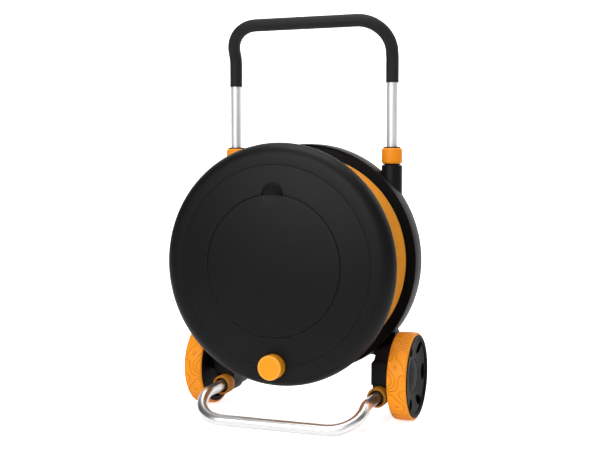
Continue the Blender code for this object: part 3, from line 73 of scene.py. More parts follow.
# The reel
SKIN = 0.003                          # wall of the disc, the drum, the flanges and the dish
DISC = 0.2364
DISC_BACK = -0.184
EDGE_ROUND = 0.0275
DOME = 1.575                          # radius of the domed front
DOME_CENTRE = DISC_BACK + math.sqrt((DOME - EDGE_ROUND) ** 2 - (DISC - EDGE_ROUND) ** 2)
LID = 0.1366
LID_OPENING = LID + 0.0007
CRANK = 0.193                         # from the reel's axis to the knob's
CRANK_HUB = HUB - Vector((0, 0, CRANK))

# The dish behind the reel and the spindle that it carries
RIM = 0.2365
RIM_FRONT = -0.041
SHELL_FRONT = -0.0246
SHELL_BACK = -0.0216
HUB_BACK = 0.012
SPINDLE_FLANGE = 0.004

# Tubes, columns and collars
TUBE = 0.011
TUBE_WALL = 0.0016
TUBE_BORE = 0.0113                    # of a column round a tube
COLLET_BORE = 0.0147                  # of a column round a collet
COLLAR_BORE = 0.0150
COLLAR_ROOM = 0.0028                  # between a column and a collar, for the collet's flange
COLUMN = 0.021
COLUMN_TOP = REEL_Z + 0.1925
BLOCK_HALF = 0.0205                   # half the width of the axle block
SOCKET_FRONT = -0.061

# Wheels
WHEEL_IN = COLUMN_X + 0.023
WHEEL_OUT = WHEEL_IN + 0.041
BARREL = 0.0781                       # radius of the rim under the tyre
BARREL_INSIDE = BARREL - SKIN
BOSS_END = WHEEL_OUT - 0.0114
AXLE_END = BOSS_END + 0.0045
TREAD_IN = WHEEL_IN + 0.0030
TREAD_OUT = WHEEL_OUT + 0.0006
TREAD_MIDDLE = (TREAD_IN + TREAD_OUT) / 2
TREAD_HALF = (TREAD_OUT - TREAD_IN) / 2
SHOULDER = 0.0035                     # radius of the tread's round shoulders


# Modelling by hand

def nothing_selected():
    """Leave object mode's selection empty."""
    bpy.ops.object.select_all(action='DESELECT')


def only(piece):
    """Select one piece and make it the active one."""
    nothing_selected()
    piece.select_set(True)
    bpy.context.view_layer.objects.active = piece


def into_edit():
    bpy.ops.object.mode_set(mode='EDIT')
    bpy.ops.mesh.select_mode(type='VERT')


def out_of_edit():
    bpy.ops.object.mode_set(mode='OBJECT')


def at_origin(piece):
    """Put the piece's place, turn and size into its mesh."""
    only(piece)
    bpy.ops.object.transform_apply(location=True, rotation=True, scale=True)


def smooth(piece, angle=32):
    only(piece)
    bpy.ops.object.shade_smooth_by_angle(angle=math.radians(angle))


def apply_all(piece):
    """Make every modifier of the piece part of its mesh."""
    only(piece)
    for step in list(piece.modifiers):
        bpy.ops.object.modifier_apply(modifier=step.name)


def round_edges(piece, width, angle, segments=3):
    """Round the edges that turn by more than an angle, after the piece's other modifiers."""
    step = piece.modifiers.new("edges", 'BEVEL')
    step.width = width
    step.segments = segments
    step.limit_method = 'ANGLE'
    step.angle_limit = math.radians(angle)
    apply_all(piece)


def pick(piece, rule):
    """Select the vertices whose place fits the rule, and stay in edit mode."""
    only(piece)
    into_edit()
    bpy.ops.mesh.select_all(action='DESELECT')
    out_of_edit()
    for vert in piece.data.vertices:
        vert.select = rule(vert.co)
    into_edit()


def eased(outline):
    """The outline with an arc at each corner that gives a third number, the arc's radius."""
    points = []
    count = len(outline)
    for k, corner in enumerate(outline):
        here = Vector(corner[:2])
        if len(corner) == 2:
            points.append(here)
            continue
        into = (here - Vector(outline[k - 1][:2])).normalized()
        out = (Vector(outline[(k + 1) % count][:2]) - here).normalized()
        turn = into.angle(out)
        inward = (out - into * into.dot(out)).normalized()
        centre = here - into * corner[2] * math.tan(turn / 2) + inward * corner[2]
        steps = max(2, math.ceil(turn / math.radians(22.5)))
        for n in range(steps + 1):
            a = turn * n / steps
            points.append(centre + corner[2] * (into * math.sin(a) - inward * math.cos(a)))
    return points


def arc(centre, radius, start, end, step=ARC):
    """Points on an arc, both ends included."""
    count = max(1, math.ceil(abs(end - start) / step - 1e-6))
    angles = [start + (end - start) * k / count for k in range(count + 1)]
    return [(centre[0] + radius * math.cos(a), centre[1] + radius * math.sin(a)) for a in angles]


def draw(name, points):
    """Start from a small plane merged to one vertex, and extrude it along the points."""
    nothing_selected()
    bpy.ops.mesh.primitive_plane_add(size=0.004, location=points[0])
    piece = bpy.context.object
    piece.name = name
    piece.data.name = name
    into_edit()
    bpy.ops.mesh.merge(type='CENTER')
    for here, there in zip(points, points[1:]):
        bpy.ops.mesh.extrude_vertices_move(TRANSFORM_OT_translate={"value": Vector(there) - Vector(here)})
    return piece


def turned(name, outline, axis="Y", centre=HUB, steps=96, angle=32):
    """Draw an outline of (radius, height) points and spin it once round the axis through centre."""
    centre = Vector(centre)
    across, along = {"X": ((0, 0, 1), (1, 0, 0)), "Y": ((1, 0, 0), (0, 1, 0)),
                     "Z": ((1, 0, 0), (0, 0, 1))}[axis]
    across, along = Vector(across), Vector(along)
    points = [centre + across * r + along * h for r, h in eased(outline)]
    if outline[0][0] > 1e-6:
        points.append(points[0])
    piece = draw(name, points)
    bpy.ops.mesh.select_all(action='SELECT')
    bpy.ops.mesh.spin(steps=steps, angle=2 * math.pi, center=centre, axis=along)
    bpy.ops.mesh.select_all(action='SELECT')
    bpy.ops.mesh.remove_doubles(threshold=1e-6)
    bpy.ops.mesh.normals_make_consistent(inside=False)
    out_of_edit()
    at_origin(piece)
    smooth(piece, angle)
    return piece


def rod(name, radius, low, high, axis="Y", centre=HUB, steps=64):
    return turned(name, [(0, low), (radius, low), (radius, high), (0, high)], axis, centre, steps)


def extruded(name, outline, axis, low, high, bevel=0.0, segments=3):
    """Draw a closed outline, fill it and extrude it along X, Y or Z; its points give the other two."""
    def place(first, second, height):
        if axis == "X":
            return Vector((height, PLANE + first, second))
        if axis == "Y":
            return Vector((first, PLANE + height, second))
        return Vector((first, PLANE + second, height))

    points = [place(a, b, low) for a, b in eased(outline)]
    piece = draw(name, points + [points[0]])
    bpy.ops.mesh.select_all(action='SELECT')
    bpy.ops.mesh.remove_doubles(threshold=1e-6)
    bpy.ops.mesh.edge_face_add()
    depth = place(0, 0, high) - place(0, 0, low)
    bpy.ops.mesh.extrude_region_move(TRANSFORM_OT_translate={"value": depth})
    bpy.ops.mesh.select_all(action='SELECT')
    bpy.ops.mesh.normals_make_consistent(inside=False)
    out_of_edit()
    at_origin(piece)
    if bevel:
        round_edges(piece, bevel, 25, segments)
    smooth(piece)
    return piece


def bent_tube(name, corners, bends, radius, sides=64):
    """Extrude a ring along straight legs and spin it round each bend; its ends stay open."""
    corners = [Vector(c) for c in corners]
    heading = (corners[1] - corners[0]).normalized()
    nothing_selected()
    bpy.ops.mesh.primitive_circle_add(vertices=sides, radius=radius, location=corners[0],
                                      rotation=heading.to_track_quat('Z', 'Y').to_euler())
    piece = bpy.context.object
    piece.name = name
    piece.data.name = name
    into_edit()
    here = corners[0]
    for before, corner, after, bend in zip(corners, corners[1:], corners[2:], bends):
        into = (corner - before).normalized()
        out = (after - corner).normalized()
        turn = into.angle(out)
        start = corner - into * bend * math.tan(turn / 2)
        inward = (out - into * into.dot(out)).normalized()
        bpy.ops.mesh.extrude_region_move(TRANSFORM_OT_translate={"value": start - here})
        bpy.ops.mesh.spin(steps=max(4, math.ceil(turn / math.radians(6))), angle=-turn,
                          center=start + inward * bend, axis=into.cross(out))
        here = corner + out * bend * math.tan(turn / 2)
    bpy.ops.mesh.extrude_region_move(TRANSFORM_OT_translate={"value": corners[-1] - here})
    bpy.ops.mesh.select_all(action='SELECT')
    bpy.ops.mesh.remove_doubles(threshold=1e-6)
    bpy.ops.mesh.normals_make_consistent(inside=False)
    out_of_edit()
    at_origin(piece)
    return piece


def walled(piece, thickness, edge):
    """Give an open sleeve a wall inwards, and round the edges of its ends."""
    step = piece.modifiers.new("wall", 'SOLIDIFY')
    step.thickness = thickness
    step.offset = -1.0
    round_edges(piece, edge, 50)
    smooth(piece)


def shaped_with(piece, tool, operation):
    """Join a second shape to the piece or cut it away, and drop that second shape."""
    step = piece.modifiers.new("shape", 'BOOLEAN')
    step.operation = operation
    step.solver = 'MANIFOLD'
    step.object = tool
    apply_all(piece)
    bpy.data.objects.remove(tool, do_unlink=True)
    return piece


def joined(piece, tool):
    return shaped_with(piece, tool, 'UNION')


def carved(piece, tool):
    return shaped_with(piece, tool, 'DIFFERENCE')


def ball(name, radius, place, stretch=(1, 1, 1), segments=64):
    """A round tool for a hollow, stretched along its axes."""
    nothing_selected()
    bpy.ops.mesh.primitive_uv_sphere_add(segments=segments, ring_count=segments // 2, radius=radius,
                                         location=place)
    piece = bpy.context.object
    piece.name = name
    into_edit()
    bpy.ops.transform.resize(value=stretch, center_override=place)
    out_of_edit()
    at_origin(piece)
    return piece


def copy_of(piece, name):
    """A copy with its own mesh."""
    twin = piece.copy()
    twin.data = piece.data.copy()
    twin.name = name
    twin.data.name = name
    bpy.context.scene.collection.objects.link(twin)
    return twin


def mirrored(piece, name):
    """The piece's other hand, across the midplane."""
    twin = copy_of(piece, name)
    only(twin)
    into_edit()
    bpy.ops.mesh.select_all(action='SELECT')
    bpy.ops.transform.resize(value=(-1, 1, 1), center_override=(0, 0, 0))
    bpy.ops.mesh.flip_normals()
    out_of_edit()
    return twin


def moved(piece, shift):
    only(piece)
    into_edit()
    bpy.ops.mesh.select_all(action='SELECT')
    bpy.ops.transform.translate(value=shift)
    out_of_edit()
    return piece


def rotated(piece, angle, axis, centre):
    """Turn the whole mesh about a point."""
    only(piece)
    into_edit()
    bpy.ops.mesh.select_all(action='SELECT')
    bpy.ops.transform.rotate(value=angle, orient_axis=axis, center_override=centre)
    out_of_edit()
    return piece


def settle(piece, body, finish, *nodes):
    """Give the piece its finish, let it ride on its body, and hide the nodes that it stands for."""
    piece.data.materials.clear()
    piece.data.materials.append(finish.material)
    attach(piece, body)
    if nodes:
        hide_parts(*nodes)
    return piece


# Finishes

class Number:
    """A number in a finish; Python's operators on it add Math nodes."""

    def __init__(self, finish, socket):
        self.finish = finish
        self.socket = socket

    def maths(self, operation, other):
        node = self.finish.add('ShaderNodeMath', {"operation": operation}, [self, other])
        return Number(self.finish, node.outputs[0])

    def __add__(self, other):
        return self.maths('ADD', other)

    __radd__ = __add__

    def __mul__(self, other):
        return self.maths('MULTIPLY', other)

    __rmul__ = __mul__

    def __sub__(self, other):
        return self.maths('SUBTRACT', other)

    def __rsub__(self, other):
        return self.finish.number(other).maths('SUBTRACT', self)

    def spread(self, low, high):
        """The number carried smoothly from a range to the range from 0 to 1."""
        node = self.finish.add('ShaderNodeMapRange', {"interpolation_type": 'SMOOTHSTEP'},
                               [self, low, high, 0.0, 1.0])
        return Number(self.finish, node.outputs[0])


class Finish:
    """A finish made of shader nodes, and the record's slot that it belongs to."""

    def __init__(self, name, slot, **constants):
        self.material = bpy.data.materials.new(name)
        self.material.use_nodes = True
        self.slot = slot
        self.tree = self.material.node_tree
        self.shader = self.tree.nodes["Principled BSDF"]
        for key, value in constants.items():
            self.shader.inputs[key.replace("_", " ")].default_value = value
        self.place = self.add('ShaderNodeTexCoord').outputs["Object"]

    def add(self, kind, settings=(), sockets=()):
        """A node of that kind: its settings first, then the values or links of its sockets."""
        node = self.tree.nodes.new(kind)
        for key, value in dict(settings).items():
            if key == "stops":
                for element, (spot, colour) in zip(node.color_ramp.elements, value):
                    element.position = spot
                    element.color = (*colour, 1.0)
            else:
                setattr(node, key, value)
        for key, value in (sockets.items() if isinstance(sockets, dict) else enumerate(sockets)):
            if isinstance(value, Number):
                value = value.socket
            if isinstance(value, bpy.types.NodeSocket):
                self.tree.links.new(value, node.inputs[key])
            else:
                node.inputs[key].default_value = value
        return node

    def number(self, value):
        return Number(self, self.add('ShaderNodeMath', {"operation": 'ADD'}, [value, 0.0]).outputs[0])

    def stretched(self, scale):
        """Object coordinates with each axis scaled."""
        return self.add('ShaderNodeVectorMath', {"operation": 'MULTIPLY'}, [self.place, scale]).outputs[0]

    def noise(self, scale, detail=3.0, roughness=0.5, place=None):
        node = self.add('ShaderNodeTexNoise', {}, {"Vector": place or self.place, "Scale": scale,
                                                   "Detail": detail, "Roughness": roughness})
        return Number(self, node.outputs["Fac"])

    def cells(self, scale):
        """Distance to the edges of small irregular cells."""
        node = self.add('ShaderNodeTexVoronoi', {"feature": 'DISTANCE_TO_EDGE'},
                        {"Vector": self.place, "Scale": scale})
        return Number(self, node.outputs["Distance"])

    def blend(self, factor, first, second):
        """A colour between two, by a factor."""
        node = self.add('ShaderNodeMix', {"data_type": 'RGBA'}, {0: factor})
        for key, value in ((6, first), (7, second)):
            if isinstance(value, bpy.types.NodeSocket):
                self.tree.links.new(value, node.inputs[key])
            else:
                node.inputs[key].default_value = (*value, 1.0)
        return node.outputs[2]

    def marked(self, attribute, colour):
        """Another colour where an attribute of the piece's mesh says so."""
        mark = self.add('ShaderNodeAttribute', {"attribute_name": attribute}).outputs["Fac"]
        plain = self.shader.inputs["Base Color"].links[0].from_socket
        self.feed("Base Color", self.blend(mark, plain, colour))

    def feed(self, name, value):
        socket = value.socket if isinstance(value, Number) else value
        self.tree.links.new(socket, self.shader.inputs[name])

    def bump(self, height, strength, distance):
        node = self.add('ShaderNodeBump', {}, {"Strength": strength, "Distance": distance,
                                               "Height": height})
        self.feed("Normal", node.outputs["Normal"])


def moulded(name, slot, dark, light, rough, grain, depth, **constants):
    """Moulded plastic: a fine spark-worn grain, slow colour drift, faint rubbed patches."""
    finish = Finish(name, slot, **constants)
    drift = finish.noise(7.0, 2.0)
    fine = finish.noise(grain, 2.0, 0.6)
    pebble = finish.cells(grain * 0.55).spread(0.02, 0.30)
    rub = finish.noise(46.0, 4.0, 0.65).spread(0.56, 0.76)
    finish.feed("Base Color", finish.blend(drift * 0.7 + rub * 0.3, dark, light))
    finish.feed("Roughness", rough + 0.05 * drift - 0.05 * rub + 0.05 * fine)
    finish.bump(fine * 0.6 + pebble * 0.4, 0.35, depth)
    return finish


def drawn_metal(name, slot, dark, light, rough, lengthwise, **constants):
    """Drawn or brushed metal: fine lines along one axis and a satin skin."""
    finish = Finish(name, slot, Metallic=1.0, **constants)
    lines = finish.noise(1.0, 3.0, 0.6, finish.stretched(lengthwise))
    cloud = finish.noise(24.0, 3.0)
    finish.feed("Base Color", finish.blend(lines * 0.6 + cloud * 0.4, dark, light))
    finish.feed("Roughness", rough + 0.07 * lines + 0.05 * cloud)
    finish.bump(lines, 0.12, 0.00003)
    return finish


def soft_skin(name, slot, dark, light, rough, pores, depth, **constants):
    """Rubber: small pores under a dull skin."""
    finish = Finish(name, slot, **constants)
    pits = finish.cells(pores).spread(0.03, 0.35)
    fine = finish.noise(pores * 2.2, 2.0, 0.6)
    drift = finish.noise(11.0, 3.0)
    finish.feed("Base Color", finish.blend(drift * 0.6 + fine * 0.4, dark, light))
    finish.feed("Roughness", rough + 0.06 * fine - 0.05 * drift)
    finish.bump(pits * 0.6 + fine * 0.4, 0.5, depth)
    return finish


BLACK = moulded("black_moulding", "moulded_black", (0.0030, 0.0030, 0.0031), (0.0048, 0.0047, 0.0047),
                0.44, 1500.0, 0.00005, Specular_IOR_Level=0.13)
INNER_BLACK = moulded("black_inner_moulding", "moulded_black", (0.0042, 0.0042, 0.0046),
                      (0.0065, 0.0065, 0.0065), 0.52, 1200.0, 0.00005, Specular_IOR_Level=0.10)
FACE_BLACK = moulded("black_wheel_face", "moulded_black", (0.0026, 0.0026, 0.0027),
                     (0.0042, 0.0041, 0.0041), 0.50, 1400.0, 0.00005, Specular_IOR_Level=0.07)
ORANGE = moulded("orange_moulding", "moulded_orange", (0.70, 0.222, 0.003), (0.79, 0.256, 0.005),
                 0.42, 1700.0, 0.00004, Specular_IOR_Level=0.20)
# A darker copy of the orange moulding for the lower collars: painted shade, for the shadow low under the
# cart
SHADED_LOW_ORANGE = moulded("orange_moulding_painted_shade", "moulded_orange", (0.33, 0.128, 0.008),
                     (0.43, 0.160, 0.009), 0.50, 1500.0, 0.00006, Specular_IOR_Level=0.15)
# A paler, brighter copy of the orange moulding for the rear flange: painted light, for the light that falls
# on it from the right
LIT_BAND_ORANGE = moulded("orange_flange_painted_light", "moulded_orange", (0.92, 0.390, 0.036), (0.96, 0.420, 0.044),
                      0.46, 1700.0, 0.00004, Specular_IOR_Level=0.20)
# The knob's face has a paler rim, which is a painted highlight, and the tread's grooves are darker, which is
# painted shade
KNOB_ORANGE = moulded("orange_knob_moulding", "moulded_orange", (0.64, 0.232, 0.002),
                      (0.72, 0.262, 0.004), 0.40, 1700.0, 0.00004, Specular_IOR_Level=0.25)
KNOB_ORANGE.marked("rim", (0.70, 0.30, 0.035))
TREAD = moulded("orange_tyre", "moulded_orange", (0.65, 0.212, 0.003), (0.73, 0.240, 0.005),
                0.46, 1300.0, 0.00006, Specular_IOR_Level=0.20)
# Painted shade in the tread's grooves
TREAD.marked("groove", (0.50, 0.150, 0.0015))
UPRIGHT_TUBE = drawn_metal("aluminium_uprights", "anodised_tube", (0.72, 0.72, 0.72), (0.81, 0.81, 0.81),
                           0.52, (2600.0, 2600.0, 18.0))
# A darker copy of the anodised tube for the foot: painted shade and painted reflection, for the dark disc
# and sockets that its tube reflects
FOOT_TUBE = drawn_metal("aluminium_foot_painted_shade", "anodised_tube", (0.66, 0.66, 0.66), (0.74, 0.74, 0.74),
                        0.27, (18.0, 2600.0, 2600.0))
ZINC = drawn_metal("zinc_plate", "zinc_steel", (0.50, 0.51, 0.52), (0.66, 0.66, 0.65),
                   0.26, (900.0, 900.0, 900.0))
BRASS = drawn_metal("brass_turning", "brass_fitting", (0.62, 0.42, 0.16), (0.76, 0.56, 0.26),
                    0.22, (900.0, 60.0, 900.0))
NYLON = moulded("nylon_moulding", "nylon_bush", (0.52, 0.51, 0.46), (0.62, 0.61, 0.57),
                0.42, 1300.0, 0.00004)
SEAL = soft_skin("seal_rubber_skin", "seal_rubber", (0.010, 0.010, 0.010), (0.016, 0.016, 0.016),
                 0.58, 1400.0, 0.00003)
GRIP = soft_skin("grip_skin", "grip_rubber", (0.011, 0.011, 0.0115), (0.0165, 0.0165, 0.0165),
                 0.62, 1100.0, 0.00008, Specular_IOR_Level=0.16)

# What the plain solids wear that no piece replaces
PLAIN_FINISH = {"moulded_black": INNER_BLACK, "moulded_orange": ORANGE, "grip_rubber": GRIP,
                "anodised_tube": UPRIGHT_TUBE, "zinc_steel": ZINC, "brass_fitting": BRASS,
                "nylon_bush": NYLON, "seal_rubber": SEAL}
for row in frame["record"]["subparts"]:
    for wearer in frame["nodes"][row["node"]].material_slots:
        wearer.material = PLAIN_FINISH[row["material_slot"]].material


# The reel

def dome(radius, depth=0.0):
    """Depth of the domed front at a radius from the reel's axis, or of a skin under it."""
    return DOME_CENTRE - math.sqrt((DOME - depth) ** 2 - radius ** 2)


LID_SEAT = dome(LID) + 0.0145
KNOB_SEAT = dome(CRANK) + 0.0034


def dome_points(start, end, count):
    """Points of the dome between two radii."""
    radii = [start + (end - start) * k / count for k in range(count + 1)]
    return [(r, dome(r)) for r in radii]


def edge_points(depth=0.0):
    """The disc's rounded edge from the dome to its back."""
    start = math.asin((DISC - EDGE_ROUND) / (DOME - EDGE_ROUND))
    return arc((DISC - EDGE_ROUND, DISC_BACK), EDGE_ROUND - depth, start - math.pi / 2, 0.0,
               math.radians(4))


def make_front_disc():
    ledge = LID_OPENING - 0.0095
    groove = 0.1938
    wide = 0.0006                     # half the groove's width
    flat = 0.0002                     # half the width of its floor
    floor = dome(groove) + 0.0006
    outline = [(LID_OPENING, dome(LID_OPENING), 0.0006)]
    outline += dome_points(LID_OPENING + 0.008, groove - 2 * wide, 5)
    outline += [(groove - wide, dome(groove - wide), 0.0002), (groove - flat, floor),
                (groove + flat, floor), (groove + wide, dome(groove + wide), 0.0002)]
    outline += edge_points()[:-1] + [(DISC, DISC_BACK, 0.0006), (DISC - SKIN, DISC_BACK, 0.0006)]
    outline += edge_points(SKIN)[:-1][::-1]
    outline += [(LID_OPENING + SKIN, dome(LID_OPENING + SKIN, SKIN)), (LID_OPENING + SKIN, LID_SEAT + SKIN),
                (ledge, LID_SEAT + SKIN, 0.0005), (ledge, LID_SEAT, 0.0005), (LID_OPENING, LID_SEAT)]
    disc = turned("disc_moulding", outline, steps=192, angle=24)
    # The finger pocket over the lid's edge
    level = dome(LID)
    middle = HUB + Vector((0, 0, LID))
    pocket = turned("pocket_wall", [(0, level + 0.0015), (0.0248, level + 0.0015), (0.0248, level + 0.004),
                                    (0.018, level + 0.010), (0, level + 0.0108)], "Y", middle, 96)
    joined(disc, carved(pocket, rod("lid_room", LID_OPENING + 0.0015, -0.3, 0.0, steps=192)))
    carved(disc, ball("pocket_hollow", 0.0232, middle + Vector((0, level, 0)), (1, 0.27, 1), 128))
    # The crank knob's seat, with the bore for its pin
    well = 0.0252
    joined(disc, rod("seat_wall", well + 0.0022, KNOB_SEAT - 0.0012, KNOB_SEAT + 0.0065,
                     centre=CRANK_HUB, steps=96))
    carved(disc, turned("seat_hollow", [(0, KNOB_SEAT - 0.02), (well, KNOB_SEAT - 0.02),
                                        (well, KNOB_SEAT, 0.0008), (0.0053, KNOB_SEAT),
                                        (0.0053, KNOB_SEAT + 0.01), (0, KNOB_SEAT + 0.01)],
                        centre=CRANK_HUB, steps=96))
    smooth(disc, 24)
    settle(disc, "reel", BLACK, "front_disc")


def make_lid():
    clip = LID - 0.0026
    inner = clip - 0.0025
    clip_end = LID_SEAT - GAP
    outline = [(0, dome(0))] + dome_points(0.02, LID - 0.006, 6)
    outline += [(LID, dome(LID), 0.0006), (LID, dome(LID, SKIN)), (clip, dome(clip, SKIN)),
                (clip, clip_end, 0.0005), (inner, clip_end, 0.0005), (inner, dome(inner, SKIN))]
    outline += [(r, dome(r, SKIN)) for r in (0.10, 0.05, 0)]
    lid = turned("lid_moulding", outline, steps=192, angle=24)
    # The shallow dimple that leads a finger into the pocket
    dimple = 0.022
    deep = 0.0009
    edge = Vector((0, PLANE + dome(LID), REEL_Z + LID))
    out = (edge - Vector((0, PLANE + DOME_CENTRE, REEL_Z))).normalized()
    reach = (dimple ** 2 + deep ** 2) / (2 * deep)
    carved(lid, ball("lid_dimple", reach, edge + out * (reach - deep), segments=256))
    smooth(lid, 24)
    settle(lid, "lid", BLACK, "compartment_lid")


def make_knob():
    radius = 0.024
    bore = 0.0054
    bore_end = KNOB_SEAT - 0.0183
    back = KNOB_SEAT - GAP
    face = back - 0.0258
    outline = [(0, face), (radius - 0.0035, face), (radius, face, 0.0024), (radius, face + 0.0034),
               (radius, back, 0.0012), (bore, back), (bore, bore_end), (0, bore_end)]
    knob = turned("knob_moulding", outline, "Y", CRANK_HUB, 128)
    # The mesh tells the finish where the face's rim is, for the painted highlight on it
    rim = [float(math.hypot(vert.co.x, vert.co.z - REEL_Z + CRANK) > radius - 0.0032
                 and vert.co.y - PLANE < face + 0.0030) for vert in knob.data.vertices]
    knob.data.attributes.new("rim", 'FLOAT', 'POINT').data.foreach_set("value", rim)
    settle(knob, "crank_knob_body", KNOB_ORANGE, "crank_knob")

    shank = 0.005
    flange = 0.009
    tip = KNOB_SEAT - 0.018
    under = KNOB_SEAT + 0.0068
    end = KNOB_SEAT + 0.0093
    outline = [(0, tip), (shank, tip, 0.0006), (shank, under), (flange, under, GAP),
               (flange, end, 0.0006), (0, end)]
    settle(turned("knob_pin", outline, "Y", CRANK_HUB, 48), "reel", ZINC, "crank_pin")


def make_compartment():
    """The tray under the lid."""
    seat = LID_SEAT + SKIN
    cup = 0.1273
    wall = 0.0025
    floor = seat + 0.052
    flange = LID_OPENING + SKIN - 0.001
    outline = [(0, floor), (cup, floor, 0.006), (cup, seat + 0.0028, 0.001), (flange, seat + 0.0028),
               (flange, seat + GAP), (cup - wall, seat + GAP, 0.0006),
               (cup - wall, floor - wall, 0.004), (0, floor - wall)]
    settle(turned("compartment_tray", outline, steps=160), "reel", INNER_BLACK, "compartment_cup")


def make_drum():
    """The drum and the flanges that the hose winds between."""
    front = -0.183                    # depths of the flanges' faces on the hose's side
    rear = -0.033
    inner = 0.1286
    outer = DISC - SKIN - 0.0011
    outline = [(inner, front - SKIN), (outer, front - SKIN, 0.0004), (outer, front, 0.0008), (inner, front)]
    settle(turned("front_hose_flange", outline, steps=192), "reel", INNER_BLACK, "front_flange")

    radius = 0.141
    inside = radius - SKIN
    web = -0.120
    housing = 0.024                   # round the reel's bushes
    bore = 0.0174
    outline = [(radius, front + GAP), (radius, rear - GAP), (inside, rear - GAP), (inside, web + SKIN),
               (housing, web + SKIN), (housing, web + 0.020), (bore, web + 0.020), (bore, web),
               (inside, web), (inside, front + GAP)]
    drum = turned("hose_winding_drum", outline, steps=160)
    carved(drum, rod("connector_hole", 0.0123, -0.16, -0.11, "Z", HUB + Vector((0, -0.085, 0)), 48))
    smooth(drum)
    settle(drum, "reel", ORANGE, "hose_drum")

    edge = 0.212
    bead = rear - 0.0015
    outline = [(bore, rear - 0.017), (housing, rear - 0.017), (housing, rear), (edge - 0.0035, rear),
               (edge - 0.0023, bead, 0.0004), (edge, bead, 0.0010), (edge, rear + SKIN, 0.0006),
               (bore, rear + SKIN)]
    # The rear flange wears the paler orange copy, which is painted light
    settle(turned("rear_hose_flange", outline, steps=192), "reel", LIT_BAND_ORANGE, "rear_flange")


# The dish behind the reel

def make_shell():
    inner = RIM - SKIN
    bore = 0.0145
    hub = 0.031
    outline = [(bore, SHELL_FRONT), (inner, SHELL_FRONT, 0.003), (inner, RIM_FRONT, 0.0008),
               (RIM - 0.0016, RIM_FRONT, 0.0007), (RIM, -0.026, 0.006), (RIM, 0.002, 0.0034),
               (inner - 0.0015, 0.0015, 0.0008), (inner, -0.0035, 0.001), (inner, SHELL_BACK, 0.003),
               (hub, SHELL_BACK, 0.003), (hub, HUB_BACK, 0.0012), (bore, HUB_BACK)]
    shell = turned("shell_dish", outline, steps=192, angle=28)
    ribs = 8
    half = 0.0012
    sink = 0.001                      # how far a rib runs into the wall and the rim
    rib_back = SHELL_BACK + 0.018
    rib = extruded("stiffening_rib", [(hub - 0.002, SHELL_BACK - sink), (hub - 0.002, rib_back),
                                      (inner * 0.55, rib_back, 0.02), (inner + sink, rib_back - 0.007),
                                      (inner + sink, SHELL_BACK - sink)],
                   "Z", REEL_Z - half, REEL_Z + half, 0.0004, 2)
    rotated(rib, math.pi / ribs, 'Y', HUB)
    for k in range(ribs):
        joined(shell, rotated(copy_of(rib, "next_rib"), 2 * math.pi * k / ribs, 'Y', HUB))
    bpy.data.objects.remove(rib, do_unlink=True)
    for side in (-1, 1):
        carved(shell, rod("column_notch", COLUMN + GAP, 0.05, 0.6, "Z", (side * COLUMN_X, PLANE, 0), 96))
    smooth(shell, 28)
    settle(shell, "frame", BLACK, "rear_shell")


# Columns with their axle blocks and foot sockets

def gusset_points():
    """Web between column and dish with the round fillet under it, as (x, z) on the right."""
    rim = RIM + GAP
    fillet = 0.0135
    inner = COLUMN_X - BLOCK_HALF
    middle = (inner - fillet, REEL_Z - math.sqrt((rim + fillet) ** 2 - (inner - fillet) ** 2))
    lean = math.atan2(REEL_Z - middle[1], -middle[0])
    under = arc(middle, fillet, 0.0, lean, math.radians(7))
    reach = inner + 0.008
    first = math.atan2(under[-1][1] - REEL_Z, under[-1][0])
    last = -math.acos(reach / rim)
    return under + arc((0, REEL_Z), rim, first, last, math.radians(3))[1:] + [(reach, middle[1])]


def make_axle_block():
    """The block over the foot socket, as a slab that is then narrowed, rounded and hollowed for the dish."""
    front = -0.071
    back = 0.0212
    under = 0.0702                    # height of the room for the lower collar
    shoulder = 0.1145
    top = 0.175
    profile = [(front, under), (front, shoulder, 0.002), (-0.050, shoulder + 0.0035, 0.004),
               (-0.018, top), (0.018, top), (back, shoulder, 0.02), (back, 0.062),
               (-0.014, 0.056), (-0.018, FOOT_Z), (SOCKET_FRONT, FOOT_Z), (SOCKET_FRONT, under)]
    block = extruded("axle_block", profile, "X", COLUMN_X - BLOCK_HALF, COLUMN_X + BLOCK_HALF)
    # It narrows upwards
    pick(block, lambda spot: spot.z > top - 0.005)
    bpy.ops.transform.resize(value=(0.7, 1, 1), center_override=(COLUMN_X, 0, 0))
    out_of_edit()
    # Its back edges run round into the post
    pick(block, lambda spot: spot.y - PLANE > 0.0165)
    bpy.ops.mesh.select_mode(type='EDGE')
    bpy.ops.mesh.bevel(offset=0.0095, segments=5)
    out_of_edit()
    carved(block, rod("dish_room", RIM + GAP, RIM_FRONT - GAP, 0.06, steps=192))
    round_edges(block, 0.0022, 40)
    return block


